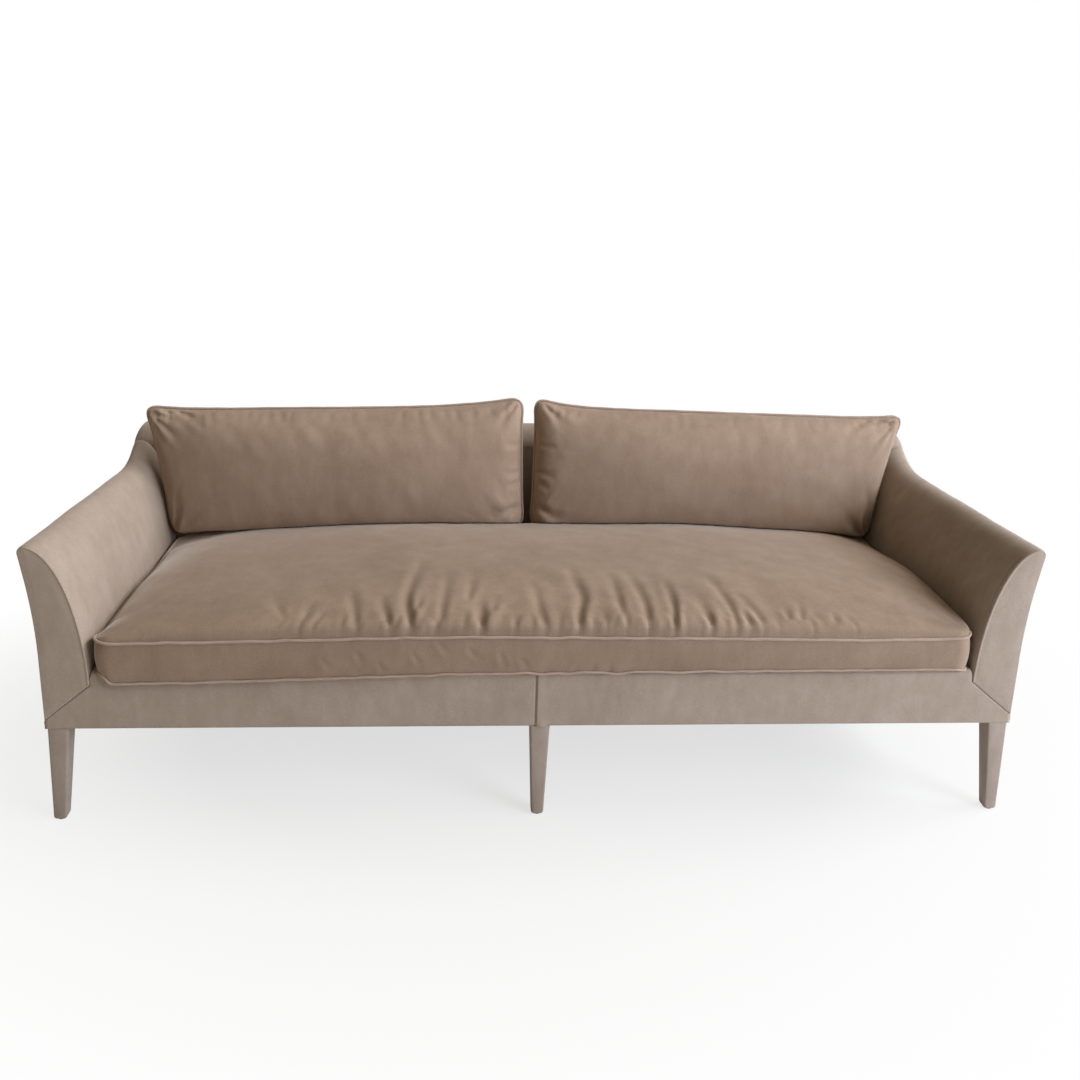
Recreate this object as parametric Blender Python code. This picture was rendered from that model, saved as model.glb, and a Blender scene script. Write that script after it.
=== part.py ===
"""Three-seat upholstered sofa with flared arms, a bench seat cushion and two loose back cushions.

Metres, +Z up. The origin is on the floor under the middle of the sofa, +X is to the right of a
viewer who faces the sofa, and the sofa's front is towards -Y. Left and right are the viewer's.
"""
import math

import bmesh
import bpy
from mathutils import Matrix, Vector
from mathutils.bvhtree import BVHTree

# Clearances
FIT = 0.0003                 # between pieces that touch
SEAM_GAP = 0.0008            # between two covers that meet at a sewn seam
WING_SEAM = 0.0015           # between the back's covers and the outside arms
CUSHION_FIT = 0.0006         # under and behind a loose cushion
CUSHION_SIDE_GAP = 0.012     # between the two back cushions at their closest

# Overall sizes
OVERALL_WIDTH = 2.200        # across the flared arm tops
OVERALL_DEPTH = 0.860        # front of the seat cushion to the rear of the back
ARM_OVERHANG = 0.022         # arm top beyond the outside arm at the seat rails
ARM_BASE = 0.103             # thickness of an arm at the seat deck
LEG_HEIGHT = 0.230           # floor to the top of a leg
ARM_HEIGHT = 0.655           # arm crest at the front
BACK_HEIGHT = 0.712          # top of the back
CUSHION_PROUD = 0.008        # seat cushion in front of the rail cover

# Covers and padding
COVER = 0.005                # cloth and wadding over a flat panel
FACING = 0.006               # front panels of the arms and the rail
ARM_PAD = 0.022              # inside arm at the seat
ARM_CREST_PAD = 0.014        # inside arm over its crest
BACK_PAD = 0.060             # inside back
ROLL_PAD = 0.012             # inside back over the top rail
DECK_THICKNESS = 0.0155      # padded platform and rail nose under the seat cushion
NOSE_DEPTH = 0.055           # how far the rail cover runs back over the rail
DUST_COVER = 0.0015
DUST_MARGIN = 0.012          # dust cover inside the edge of the body
DUST_NOTCH_GAP = 0.002       # dust cover round a leg

# Arm form
TIP_RADIUS = 0.0145          # rolled outer edge of the arm crest
TIP_OVERHANG = 0.006         # the rolled edge beyond the outside arm just under it
LIP_DROP = 0.055             # how far the inside arm cover comes down outside
FLARE_START = 0.400          # height where the outside arm begins to flare
FLARE_FADE = 0.40            # share of the flare that is lost by the rear
ARM_DROP = 0.023             # fall of the crest from the front to the sweep
ARM_TOE = 0.010              # crest turned in by the rear end
SWEEP_START = 0.80           # share of the arm's length where it sweeps up to the back
SWEEP_RISE = 0.058
MITRE_BELOW_RAIL = 0.010     # inner end of the mitre seam below the rail's top
MITRE_FOOT = 0.021           # outer end of the mitre seam above the rail's foot

# Back form
BACK_RAKE = 0.1525           # run back per metre of rise
BACK_THICKNESS = 0.152       # front to rear, level
ROLL_RISE = 0.052            # height of the rounded top
BACK_LIP = 0.040             # how far the inside back cover comes down behind
WING_RADIUS = 0.030          # rounded top corner at each end
WING_FILL = 0.056            # how far the hollow under the top closes towards each end
WING_PANEL_DROP = 0.0005     # outside arm's top edge below the rounded top
BACK_TUCK = 0.020            # inside back pushed in behind the inside arm
BACK_TUCK_RUN = 0.035        # width of its slanted edge above that
BACK_CUT_CLEAR = 0.009       # inside back's ends above the arm top rail

# Wooden frame
RAIL_HEIGHT = 0.116
FRONT_RAIL_THICKNESS = 0.028
BACK_RAIL_THICKNESS = 0.030
SIDE_THICKNESS = 0.030       # side rails and back posts
BRACE_WIDTH = 0.045
BLOCK_SIZE = 0.070           # legs of a triangular corner block
BLOCK_HEIGHT = 0.060
STUMP_DROP = 0.045           # top of the arm stump below the crest
STUMP_THICKNESS = 0.028
STUMP_SIDE_GAP = 0.003       # arm stump inside the outside arm
ARM_RAIL_WIDTH = 0.024
ARM_RAIL_HEIGHT = 0.040
ARM_RAIL_DROP = 0.002        # arm rail's top below the stump's
ARM_RAIL_FALL = 0.027        # fall of the arm rail from front to rear
TUCK_RAIL_LIFT = 0.026       # tuck rails above the seat deck's underside
ARM_TUCK_HEIGHT = 0.022
ARM_TUCK_GAP = 0.009         # arm tuck rail behind the inside arm
BACK_TUCK_HEIGHT = 0.040
BACK_TUCK_THICKNESS = 0.030
BACK_TUCK_SETBACK = 0.009    # tuck rail behind the front of the posts
TOP_RAIL_DROP = 0.010        # back top rail below the rounded top
TOP_RAIL_HEIGHT = 0.055
TOP_RAIL_THICKNESS = 0.040
TOP_RAIL_SETBACK = 0.010     # top rail behind the front of the posts
POST_DROP = 0.005            # top of a post below the rounded top
STILE_WIDTH = 0.045
STILE_THICKNESS = 0.030

# Seat suspension
STRAP_COUNT = 8
STRAP_WIDTH = 0.080
STRAP_THICKNESS = 0.0025
STRAP_END_MARGIN = 0.100     # outer strap's edge inside the arm
STRAP_EDGE = 0.005           # strap end inside the rail's far edge

# Legs and fastenings
LEG_TOP = 0.045              # side of the square top
LEG_FOOT = 0.028             # side of the square foot
LEG_SETBACK = 0.003          # leg behind the face of the rail cover
LEG_SPLAY = 0.006            # how far the foot of a corner leg leans out
LEG_ROUNDING = 0.003
LEG_ROUND_STEPS = 2
ROUND_PROFILE = 0.5          # shape of a rounded edge, 0.5 for a circle
GLIDE_RADIUS = 0.010
GLIDE_HEIGHT = 0.003
BOLT_RADIUS = 0.004
BOLT_IN_LEG = 0.045
BOLT_IN_FRAME = 0.050

# Seat cushion
SEAT_SIDE_GAP = 0.020        # cushion to inside arm
SEAT_BACK_GAP = 0.001        # cushion to inside back at the deck
SEAT_BOXING = 0.088          # height of the sewn side band
SEAT_CROWN = 0.060
SEAT_DRAW = 0.006            # edges drawn in between the corners
SEAT_BULGE = 0.005           # side band swelling out

# Back cushions
BACK_CUSHION_ARM_GAP = 0.001     # foot's outer corner to the inside arm at the seat deck
BACK_CUSHION_SPREAD = 0.064  # how much wider the top is than the foot, corner to corner
BACK_CUSHION_HEIGHT = 0.338  # corner to corner
BACK_CUSHION_SEAM = 0.008    # thickness at the piped seam that runs round the edge
BACK_CUSHION_FRONT = 0.085   # swell in front of the seam
BACK_CUSHION_REAR = 0.050    # swell behind the seam
BACK_CUSHION_BASE = 0.60     # share of the swell left where the foot is pressed flat
BACK_CUSHION_DRAW = 0.022    # top and foot drawn in between the corners
BACK_CUSHION_SIDE_DRAW = 0.005   # ends drawn in between the corners
BACK_CUSHION_ROLL = math.radians(1.8)   # inner end raised by the crown of the seat
BACK_CUSHION_SINK = 0.045    # most that the foot gives way to lie on the seat

# Mesh counts
SEAT_CELLS = (24, 10, 2)
BACK_CUSHION_CELLS = (16, 1, 10)
ARM_STEPS = 9
TIP_STEPS = 3
ROLL_STEPS = 8
SIDE_STEPS = 8
WING_STEPS = 3
ROUND_SIDES = 16
ARM_STATIONS = (0.0, 0.2, 0.4, 0.6, 0.8, 0.86, 0.91, 0.96, 1.0)
WING_STATIONS = (0.04, 0.5, 1.0)
CROWN_POWER = 4              # how squarely a crown reaches the edges
SEAT_REAR_POWER = 2          # the same for the rear of the seat, which the back cushions press down
EDGE_POWER = 8               # how close to the edge the side band swells
SETTLE_ROUNDS = 2            # alternate moves that seat a back cushion
SETTLE_REACH = 0.5
EDGE_SAMPLES = 4             # parts of an edge between points where clearance is measured
SMOOTH_ANGLE = math.radians(35)

# Heights worked out from the sizes above
RAIL_BOTTOM = LEG_HEIGHT + FIT
RAIL_TOP = RAIL_BOTTOM + RAIL_HEIGHT
STRAP_BOTTOM = RAIL_TOP + FIT
DECK_BOTTOM = STRAP_BOTTOM + STRAP_THICKNESS + FIT
DECK_TOP = DECK_BOTTOM + DECK_THICKNESS
MITRE_TOP = RAIL_TOP - MITRE_BELOW_RAIL
MITRE_BOTTOM = RAIL_BOTTOM + MITRE_FOOT
LIP_Z = ARM_HEIGHT - LIP_DROP
STUMP_TOP = ARM_HEIGHT - STUMP_DROP
ROLL_Z = BACK_HEIGHT - ROLL_RISE
BACK_LIP_Z = ROLL_Z - BACK_LIP
WING_PANEL_TOP = ROLL_Z - WING_PANEL_DROP
ARM_RAIL_TOP = STUMP_TOP - ARM_RAIL_DROP
BACK_CUT_Z = ARM_RAIL_TOP - ARM_RAIL_FALL + BACK_CUT_CLEAR
TUCK_RAIL_Z = DECK_BOTTOM + TUCK_RAIL_LIFT

# Places across the width
TIP_X = OVERALL_WIDTH / 2
BODY_X = TIP_X - ARM_OVERHANG
SEAT_X = BODY_X - ARM_BASE
CREST_X = TIP_X - TIP_RADIUS
ARM_FLARE = TIP_X - TIP_OVERHANG - BODY_X
SIDE_OUTER_X = BODY_X - COVER - FIT
SIDE_INNER_X = SIDE_OUTER_X - SIDE_THICKNESS
STUMP_INNER_X = SEAT_X + ARM_PAD + FIT
LEG_OUTER_X = BODY_X - LEG_SETBACK

# Places along the depth
FACE_Y = CUSHION_PROUD - OVERALL_DEPTH / 2
REAR_Y = OVERALL_DEPTH / 2
FRAME_FRONT_Y = FACE_Y + FACING + FIT
STUMP_REAR_Y = FRAME_FRONT_Y + STUMP_THICKNESS
RAIL_REAR_Y = FRAME_FRONT_Y + FRONT_RAIL_THICKNESS

SIDES = (("left", -1.0), ("right", 1.0))


def rear_face(height):
    """Depth of the back's raked rear face at a height."""
    return REAR_Y - BACK_RAKE * (ROLL_Z - height)


def front_face(height):
    """Depth of the back's raked front face at a height."""
    return rear_face(height) - BACK_THICKNESS


def post_front(height):
    """Depth of the front edge of the raked back posts at a height."""
    return front_face(height) + BACK_PAD + FIT


def outside_x(height, depth):
    """Half width of the outside arm, which flares out above FLARE_START."""
    lift = max(0.0, height - FLARE_START) / (LIP_Z - FLARE_START)
    along = (depth - FACE_Y) / (REAR_Y - FACE_Y)
    return BODY_X + ARM_FLARE * (1.0 - FLARE_FADE * along) * lift ** 2


def arm_stretch(along):
    """Height of the arm's section at a share of its length, against the front section."""
    crest = ARM_HEIGHT - ARM_DROP * min(1.0, along / SWEEP_START)
    swept = max(0.0, along - SWEEP_START) / (1.0 - SWEEP_START)
    return (crest + SWEEP_RISE * swept ** 2 - MITRE_TOP) / (ARM_HEIGHT - MITRE_TOP)


def arm_curve(inset, crest_inset, foot):
    """Quarter ellipse of the inside arm, from a foot height up to the crest, moved inwards."""
    across = CREST_X - SEAT_X - inset
    rise = ARM_HEIGHT - MITRE_TOP - crest_inset
    first = math.asin((foot - MITRE_TOP) / rise)
    points = []
    for step in range(ARM_STEPS + 1):
        angle = first + (math.pi / 2 - first) * step / ARM_STEPS
        points.append((CREST_X - across * math.cos(angle), MITRE_TOP + rise * math.sin(angle)))
    return points


def arm_toe(along, height):
    """How far the arm's section has turned in at a share of its length."""
    return ARM_TOE * along * ((height - MITRE_TOP) / (ARM_HEIGHT - MITRE_TOP)) ** 2


def stretched(section, stretch):
    """Arm section with its heights above the mitre seam stretched."""
    return [(across, MITRE_TOP + (height - MITRE_TOP) * stretch) for across, height in section]


def cut_at(points, top):
    """Rising line of points, cut level at a height."""
    kept = [point for point in points if point[1] < top]
    low = kept[-1]
    high = points[len(kept)]
    share = (top - low[1]) / (high[1] - low[1])
    kept.append((low[0] + share * (high[0] - low[0]), top))
    return kept


def tip_curve():
    """Rolled outer edge of the arm crest, from just past the crest down to its widest point."""
    points = []
    for step in range(1, TIP_STEPS + 1):
        angle = math.pi / 2 * (1 - step / TIP_STEPS)
        across = CREST_X + TIP_RADIUS * math.cos(angle)
        points.append((across, ARM_HEIGHT - TIP_RADIUS + TIP_RADIUS * math.sin(angle)))
    return points


def clear_scene():
    for item in list(bpy.data.objects):
        bpy.data.objects.remove(item, do_unlink=True)


def make_material(name, colour, roughness, metallic):
    """Principled material from an sRGB colour given as a hex string."""
    channels = [int(colour[start:start + 2], 16) / 255 for start in (0, 2, 4)]
    linear = [((c + 0.055) / 1.055) ** 2.4 if c > 0.04045 else c / 12.92 for c in channels]
    material = bpy.data.materials.new(name)
    material.use_nodes = True
    shader = material.node_tree.nodes["Principled BSDF"]
    shader.inputs["Base Color"].default_value = (*linear, 1.0)
    shader.inputs["Roughness"].default_value = roughness
    shader.inputs["Metallic"].default_value = metallic
    return material


def add_empty(name):
    empty = bpy.data.objects.new(name, None)
    bpy.context.scene.collection.objects.link(empty)
    return empty


def add_object(name, shape, material, origin, parent):
    """Turn a bmesh in world coordinates into an object that stands at its own origin."""
    bmesh.ops.recalc_face_normals(shape, faces=shape.faces)
    bmesh.ops.translate(shape, verts=shape.verts, vec=-Vector(origin))
    mesh = bpy.data.meshes.new(name)
    shape.to_mesh(mesh)
    shape.free()
    mesh.materials.append(material)
    item = bpy.data.objects.new(name, mesh)
    bpy.context.scene.collection.objects.link(item)
    item.parent = parent
    item.location = Vector(origin) - parent.matrix_world.translation
    bpy.context.view_layer.update()
    return item


def shade_round(item):
    item.data.shade_smooth()
    item.data.set_sharp_from_angle(angle=SMOOTH_ANGLE)


def add_box(name, low, high, material, parent):
    """Board or block between two corners."""
    low = Vector(low)
    high = Vector(high)
    shape = bmesh.new()
    bmesh.ops.create_cube(shape, size=1.0)
    bmesh.ops.scale(shape, verts=shape.verts, vec=high - low)
    bmesh.ops.translate(shape, verts=shape.verts, vec=(low + high) / 2)
    return add_object(name, shape, material, (low + high) / 2, parent)


def add_prism(name, outline, travel, material, parent):
    """Flat outline, given as points in space, pushed along a vector."""
    shape = bmesh.new()
    face = shape.faces.new([shape.verts.new(point) for point in outline])
    pushed = bmesh.ops.extrude_face_region(shape, geom=[face])
    moved = [part for part in pushed["geom"] if isinstance(part, bmesh.types.BMVert)]
    bmesh.ops.translate(shape, verts=moved, vec=travel)
    centre = sum((vert.co for vert in shape.verts), Vector()) / len(shape.verts)
    return add_object(name, shape, material, centre, parent)


def add_loft(name, rings, material, parent):
    """Closed skin through rings of equal count, each up one side and back down the other."""
    shape = bmesh.new()
    loops = [[shape.verts.new(point) for point in ring] for ring in rings]
    count = len(loops[0])
    for near, far in zip(loops, loops[1:]):
        for first in range(count):
            second = (first + 1) % count
            shape.faces.new((near[first], near[second], far[second], far[first]))
    for cap in (loops[0], loops[-1]):
        for step in range(count // 2 - 1):
            shape.faces.new((cap[step], cap[step + 1], cap[count - 2 - step], cap[count - 1 - step]))
    centre = sum((vert.co for vert in shape.verts), Vector()) / len(shape.verts)
    return add_smooth(name, shape, material, centre, parent)


def add_smooth(name, shape, material, centre, parent):
    item = add_object(name, shape, material, centre, parent)
    shade_round(item)
    return item


def add_round(name, radius, low, high, place, material, parent):
    """Upright round bar at a place given as x and y."""
    shape = bmesh.new()
    bmesh.ops.create_cone(
        shape, cap_ends=True, segments=ROUND_SIDES, radius1=radius, radius2=radius, depth=high - low)
    centre = Vector((place[0], place[1], (low + high) / 2))
    bmesh.ops.translate(shape, verts=shape.verts, vec=centre)
    return add_smooth(name, shape, material, centre, parent)


def add_boolean(item, other, operation):
    modifier = item.modifiers.new(other.name, "BOOLEAN")
    modifier.operation = operation
    modifier.object = other


def make_tool(item):
    """Keep a shape only as a tool for Booleans."""
    item.hide_render = True
    item.display_type = "WIRE"


def mirrored(points, side):
    return [(side * across, depth, height) for across, depth, height in points]


def leg_places():
    """Name, x and y of the middle of each leg's top, and which way it leans out."""
    front = FACE_Y + LEG_SETBACK + LEG_TOP / 2
    rear = rear_face(RAIL_BOTTOM) - LEG_SETBACK - LEG_TOP / 2
    corner = LEG_OUTER_X - LEG_TOP / 2
    places = []
    for row, depth, outward in (("front", front, -1.0), ("rear", rear, 1.0)):
        for column, lean in (("left", -1.0), ("middle", 0.0), ("right", 1.0)):
            places.append((f"{row}_{column}", lean * corner, depth, lean, outward))
    return places


def make_legs(cloth, nylon, steel, frame):
    """Six tapered legs with their glides and bolts; returns the hole cutters by leg."""
    cutters = {}
    taper = (LEG_TOP - LEG_FOOT) / 2
    for name, across, depth, lean, outward in leg_places():
        shape = bmesh.new()
        bmesh.ops.create_cube(shape, size=1.0)
        foot_low = GLIDE_HEIGHT + FIT
        size = (LEG_TOP, LEG_TOP, LEG_HEIGHT - foot_low)
        bmesh.ops.scale(shape, verts=shape.verts, vec=size)
        foot = [vert for vert in shape.verts if vert.co.z < 0]
        bmesh.ops.scale(shape, verts=foot, vec=(LEG_FOOT / LEG_TOP, LEG_FOOT / LEG_TOP, 1.0))
        foot_move = Vector((lean * (taper + LEG_SPLAY), outward * taper, 0.0))
        bmesh.ops.translate(shape, verts=foot, vec=foot_move)
        upright = [edge for edge in shape.edges if abs(edge.verts[0].co.z - edge.verts[1].co.z) > LEG_TOP]
        bmesh.ops.bevel(
            shape, geom=upright, offset=LEG_ROUNDING, offset_type="OFFSET", segments=LEG_ROUND_STEPS,
            profile=ROUND_PROFILE, affect="EDGES")
        centre = Vector((across, depth, (LEG_HEIGHT + foot_low) / 2))
        bmesh.ops.translate(shape, verts=shape.verts, vec=centre)
        leg = add_smooth(f"{name}_leg", shape, cloth, centre, frame)
        foot_place = (across + foot_move.x, depth + foot_move.y)
        add_round(f"{name}_glide", GLIDE_RADIUS, 0.0, GLIDE_HEIGHT, foot_place, nylon, frame)
        bolt_low = LEG_HEIGHT - BOLT_IN_LEG
        bolt_high = RAIL_BOTTOM + BOLT_IN_FRAME
        place = (across, depth)
        add_round(f"{name}_leg_bolt", BOLT_RADIUS, bolt_low, bolt_high, place, steel, frame)
        cutters[name] = add_round(
            f"{name}_bolt_hole", BOLT_RADIUS + FIT, bolt_low - FIT, bolt_high + FIT, place, steel, frame)
        make_tool(cutters[name])
        add_boolean(leg, cutters[name], "DIFFERENCE")
    return cutters


def make_seat_frame(wood, frame, cutters):
    """Seat rails, centre brace and corner blocks."""
    front_rail = add_box(
        "front_seat_rail", (FIT - STUMP_INNER_X, FRAME_FRONT_Y, RAIL_BOTTOM),
        (STUMP_INNER_X - FIT, RAIL_REAR_Y, RAIL_TOP), wood, frame)
    add_boolean(front_rail, cutters["front_middle"], "DIFFERENCE")
    back_y = rear_face(RAIL_BOTTOM) - COVER - FIT
    back_rail = add_box(
        "back_seat_rail", (FIT - SIDE_INNER_X, back_y - BACK_RAIL_THICKNESS, RAIL_BOTTOM),
        (SIDE_INNER_X - FIT, back_y, RAIL_TOP), wood, frame)
    add_boolean(back_rail, cutters["rear_middle"], "DIFFERENCE")
    add_box(
        "seat_centre_brace", (-BRACE_WIDTH / 2, RAIL_REAR_Y + FIT, RAIL_BOTTOM),
        (BRACE_WIDTH / 2, back_y - BACK_RAIL_THICKNESS - FIT, RAIL_TOP), wood, frame)
    post_y = post_front(RAIL_TOP)
    corner_x = SIDE_INNER_X - FIT
    for label, side in SIDES:
        walls = sorted((side * SIDE_INNER_X, side * SIDE_OUTER_X))
        add_box(
            f"{label}_seat_rail", (walls[0], STUMP_REAR_Y + FIT, RAIL_BOTTOM),
            (walls[1], post_y - FIT, RAIL_TOP), wood, frame)
        for row, wall, inward in (
                ("front", max(RAIL_REAR_Y, STUMP_REAR_Y) + FIT, 1.0),
                ("rear", back_y - BACK_RAIL_THICKNESS - FIT, -1.0)):
            outline = [
                (corner_x, wall, RAIL_BOTTOM),
                (corner_x - BLOCK_SIZE, wall, RAIL_BOTTOM),
                (corner_x, wall + inward * BLOCK_SIZE, RAIL_BOTTOM),
            ]
            add_prism(
                f"{row}_{label}_corner_block", mirrored(outline, side), (0.0, 0.0, BLOCK_HEIGHT), wood, frame)


def make_arm_frame(wood, frame, cutters):
    """Arm stumps, arm top rails, arm tuck rails and back posts."""
    back_y = rear_face(RAIL_BOTTOM) - COVER - FIT
    post_top = ROLL_Z - POST_DROP
    squash = arm_stretch(STUMP_THICKNESS / (front_face(ARM_HEIGHT) - FRAME_FRONT_Y))
    stump_curve = stretched(arm_curve(ARM_PAD + FIT, ARM_CREST_PAD + FIT, DECK_BOTTOM), squash)
    for label, side in SIDES:
        outline = [(STUMP_INNER_X, RAIL_BOTTOM), *cut_at(stump_curve, STUMP_TOP)]
        for step in range(SIDE_STEPS + 1):
            height = STUMP_TOP + (RAIL_BOTTOM - STUMP_TOP) * step / SIDE_STEPS
            outline.append((outside_x(min(height, LIP_Z), STUMP_REAR_Y) - COVER - STUMP_SIDE_GAP, height))
        outline = [(point[0], FRAME_FRONT_Y, point[1]) for point in outline]
        stump = add_prism(
            f"{label}_arm_stump", mirrored(outline, side), (0.0, STUMP_THICKNESS, 0.0), wood, frame)
        add_boolean(stump, cutters[f"front_{label}"], "DIFFERENCE")

        outline = [
            (SIDE_INNER_X, post_front(RAIL_TOP), RAIL_BOTTOM),
            (SIDE_INNER_X, back_y, RAIL_BOTTOM),
            (SIDE_INNER_X, rear_face(post_top) - COVER - FIT, post_top),
            (SIDE_INNER_X, post_front(post_top), post_top),
            (SIDE_INNER_X, post_front(RAIL_TOP), RAIL_TOP),
        ]
        post = add_prism(
            f"{label}_back_post", mirrored(outline, side), (side * SIDE_THICKNESS, 0.0, 0.0), wood, frame)
        add_boolean(post, cutters[f"rear_{label}"], "DIFFERENCE")

        rings = []
        for fall, rear in ((0.0, False), (ARM_RAIL_FALL, True)):
            ring = []
            for across, drop in ((0.0, 0.0), (ARM_RAIL_WIDTH, 0.0),
                                 (ARM_RAIL_WIDTH, ARM_RAIL_HEIGHT), (0.0, ARM_RAIL_HEIGHT)):
                height = ARM_RAIL_TOP - fall - drop
                depth = post_front(height) - FIT if rear else STUMP_REAR_Y + FIT
                ring.append((side * (SIDE_OUTER_X - across), depth, height))
            rings.append(ring)
        add_loft(f"{label}_arm_top_rail", rings, wood, frame)

        rings = []
        for rear in (False, True):
            ring = []
            for across, lift in ((0.0, 0.0), (1.0, 0.0), (1.0, ARM_TUCK_HEIGHT), (0.0, ARM_TUCK_HEIGHT)):
                inner = STUMP_INNER_X + ARM_TUCK_GAP
                height = TUCK_RAIL_Z + lift
                depth = post_front(height) - FIT if rear else STUMP_REAR_Y + FIT
                ring.append((side * (inner + across * (SIDE_OUTER_X - inner)), depth, height))
            rings.append(ring)
        add_loft(f"{label}_arm_tuck_rail", rings, wood, frame)


def make_back_frame(wood, frame):
    """Rails and stile between the back posts."""
    reach = SIDE_INNER_X - FIT
    tuck_top = TUCK_RAIL_Z + BACK_TUCK_HEIGHT
    tuck_front = post_front(tuck_top) + BACK_TUCK_SETBACK - FIT
    tuck_rear = tuck_front + BACK_TUCK_THICKNESS
    add_box("back_tuck_rail", (-reach, tuck_front, TUCK_RAIL_Z), (reach, tuck_rear, tuck_top), wood, frame)
    rail_top = ROLL_Z - TOP_RAIL_DROP
    rail_low = rail_top - TOP_RAIL_HEIGHT
    rail_front = post_front(rail_top) + TOP_RAIL_SETBACK - FIT
    add_box(
        "back_top_rail", (-reach, rail_front, rail_low),
        (reach, rail_front + TOP_RAIL_THICKNESS, rail_top), wood, frame)
    stile_low = tuck_top + FIT
    stile_high = rail_low - FIT
    outline = []
    for height, setback in ((stile_low, 0.0), (stile_low, STILE_THICKNESS),
                            (stile_high, STILE_THICKNESS), (stile_high, 0.0)):
        outline.append((-STILE_WIDTH / 2, post_front(height) + BACK_TUCK_SETBACK + setback, height))
    add_prism("back_centre_stile", outline, (STILE_WIDTH, 0.0, 0.0), wood, frame)


def make_suspension(webbing, frame):
    """Elastic straps stretched from the front rail to the back rail."""
    first = -SEAT_X + STRAP_END_MARGIN + STRAP_WIDTH / 2
    pitch = -2 * first / (STRAP_COUNT - 1)
    rear = rear_face(RAIL_BOTTOM) - COVER - FIT - STRAP_EDGE
    for index in range(STRAP_COUNT):
        across = first + pitch * index
        add_box(
            f"webbing_strap_{index + 1}",
            (across - STRAP_WIDTH / 2, FRAME_FRONT_Y + STRAP_EDGE, STRAP_BOTTOM),
            (across + STRAP_WIDTH / 2, rear, STRAP_BOTTOM + STRAP_THICKNESS), webbing, frame)


def make_seat_covers(velvet, platform, cambric, frame):
    """Front rail cover, seat deck and dust cover."""
    corner = SEAT_X - FIT
    half = [(BODY_X, RAIL_BOTTOM), (BODY_X, MITRE_BOTTOM), (corner, MITRE_TOP), (corner, DECK_TOP)]
    outline = [*half, *[(-across, height) for across, height in reversed(half)]]
    front = [(across, FACE_Y, height) for across, height in outline]
    cover = add_prism("front_rail_cover", front, (0.0, FACING, 0.0), velvet, frame)
    nose_rear = FACE_Y + NOSE_DEPTH
    nose = add_box(
        "front_rail_nose", (-corner, FACE_Y + FACING / 2, DECK_BOTTOM),
        (corner, nose_rear, DECK_TOP), velvet, frame)
    make_tool(nose)
    add_boolean(cover, nose, "UNION")

    add_box(
        "seat_deck", (-corner, nose_rear + FIT, DECK_BOTTOM),
        (corner, front_face(DECK_BOTTOM) - FIT, DECK_TOP), platform, frame)

    top = RAIL_BOTTOM - FIT
    legs = {name: (across, depth) for name, across, depth, lean, outward in leg_places()}
    edge = BODY_X - DUST_MARGIN
    inner = LEG_OUTER_X - LEG_TOP - DUST_NOTCH_GAP
    middle = LEG_TOP / 2 + DUST_NOTCH_GAP
    outline = []
    for row, inward, border in (
            ("front_middle", 1.0, FACE_Y + DUST_MARGIN),
            ("rear_middle", -1.0, rear_face(RAIL_BOTTOM) - DUST_MARGIN)):
        notch = legs[row][1] + inward * (LEG_TOP / 2 + DUST_NOTCH_GAP)
        half = [(edge, notch), (inner, notch), (inner, border), (middle, border), (middle, notch)]
        line = [*[(-across, depth) for across, depth in half], *reversed(half)]
        outline.extend(line if inward > 0 else reversed(line))
    flat = [(across, depth, top) for across, depth in outline]
    add_prism("dust_cover", flat, (0.0, 0.0, -DUST_COVER), cambric, frame)


def make_arm_covers(velvet, frame):
    """Arm facings, inside arms and outside arms."""
    start = FRAME_FRONT_Y
    for label, side in SIDES:
        outline = [*arm_curve(0.0, 0.0, MITRE_TOP + SEAM_GAP), *tip_curve()]
        for step in range(SIDE_STEPS + 1):
            height = LIP_Z + (MITRE_BOTTOM + SEAM_GAP - LIP_Z) * step / SIDE_STEPS
            outline.append((outside_x(height, FACE_Y), height))
        front = [(across, FACE_Y, height) for across, height in outline]
        add_prism(f"{label}_arm_facing", mirrored(front, side), (0.0, FACING, 0.0), velvet, frame)

        outer = [*arm_curve(0.0, 0.0, DECK_BOTTOM), *tip_curve()]
        inner = arm_curve(ARM_PAD, ARM_CREST_PAD, DECK_BOTTOM)
        rings = []
        for along in ARM_STATIONS:
            stretch = arm_stretch(along)
            lip = MITRE_TOP + (LIP_Z - MITRE_TOP) * stretch
            lip_x = outside_x(min(lip, LIP_Z), start + along * (front_face(lip) - start))
            section = [*stretched(outer, stretch), (lip_x, lip), (lip_x - COVER, lip)]
            crest_x, crest = stretched(inner, stretch)[-1]
            for step in range(TIP_STEPS, 0, -1):
                share = step / (TIP_STEPS + 1)
                section.append((crest_x + share * (lip_x - COVER - crest_x), crest + share * (lip - crest)))
            section.extend(reversed(stretched(inner, stretch)))
            ring = []
            for across, height in section:
                depth = start + along * (front_face(height) - FIT - start)
                ring.append((across - arm_toe(along, height), depth, height))
            rings.append(mirrored(ring, side))
        add_loft(f"{label}_inside_arm", rings, velvet, frame)

        rings = []
        for along in ARM_STATIONS:
            lip = MITRE_TOP + (LIP_Z - MITRE_TOP) * arm_stretch(along) - FIT
            rings.append(outside_ring(lip, along, 0.0, start, side))
        for along in WING_STATIONS:
            rings.append(outside_ring(WING_PANEL_TOP, 1.0, along, start, side))
        add_loft(f"{label}_outside_arm", rings, velvet, frame)


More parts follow.
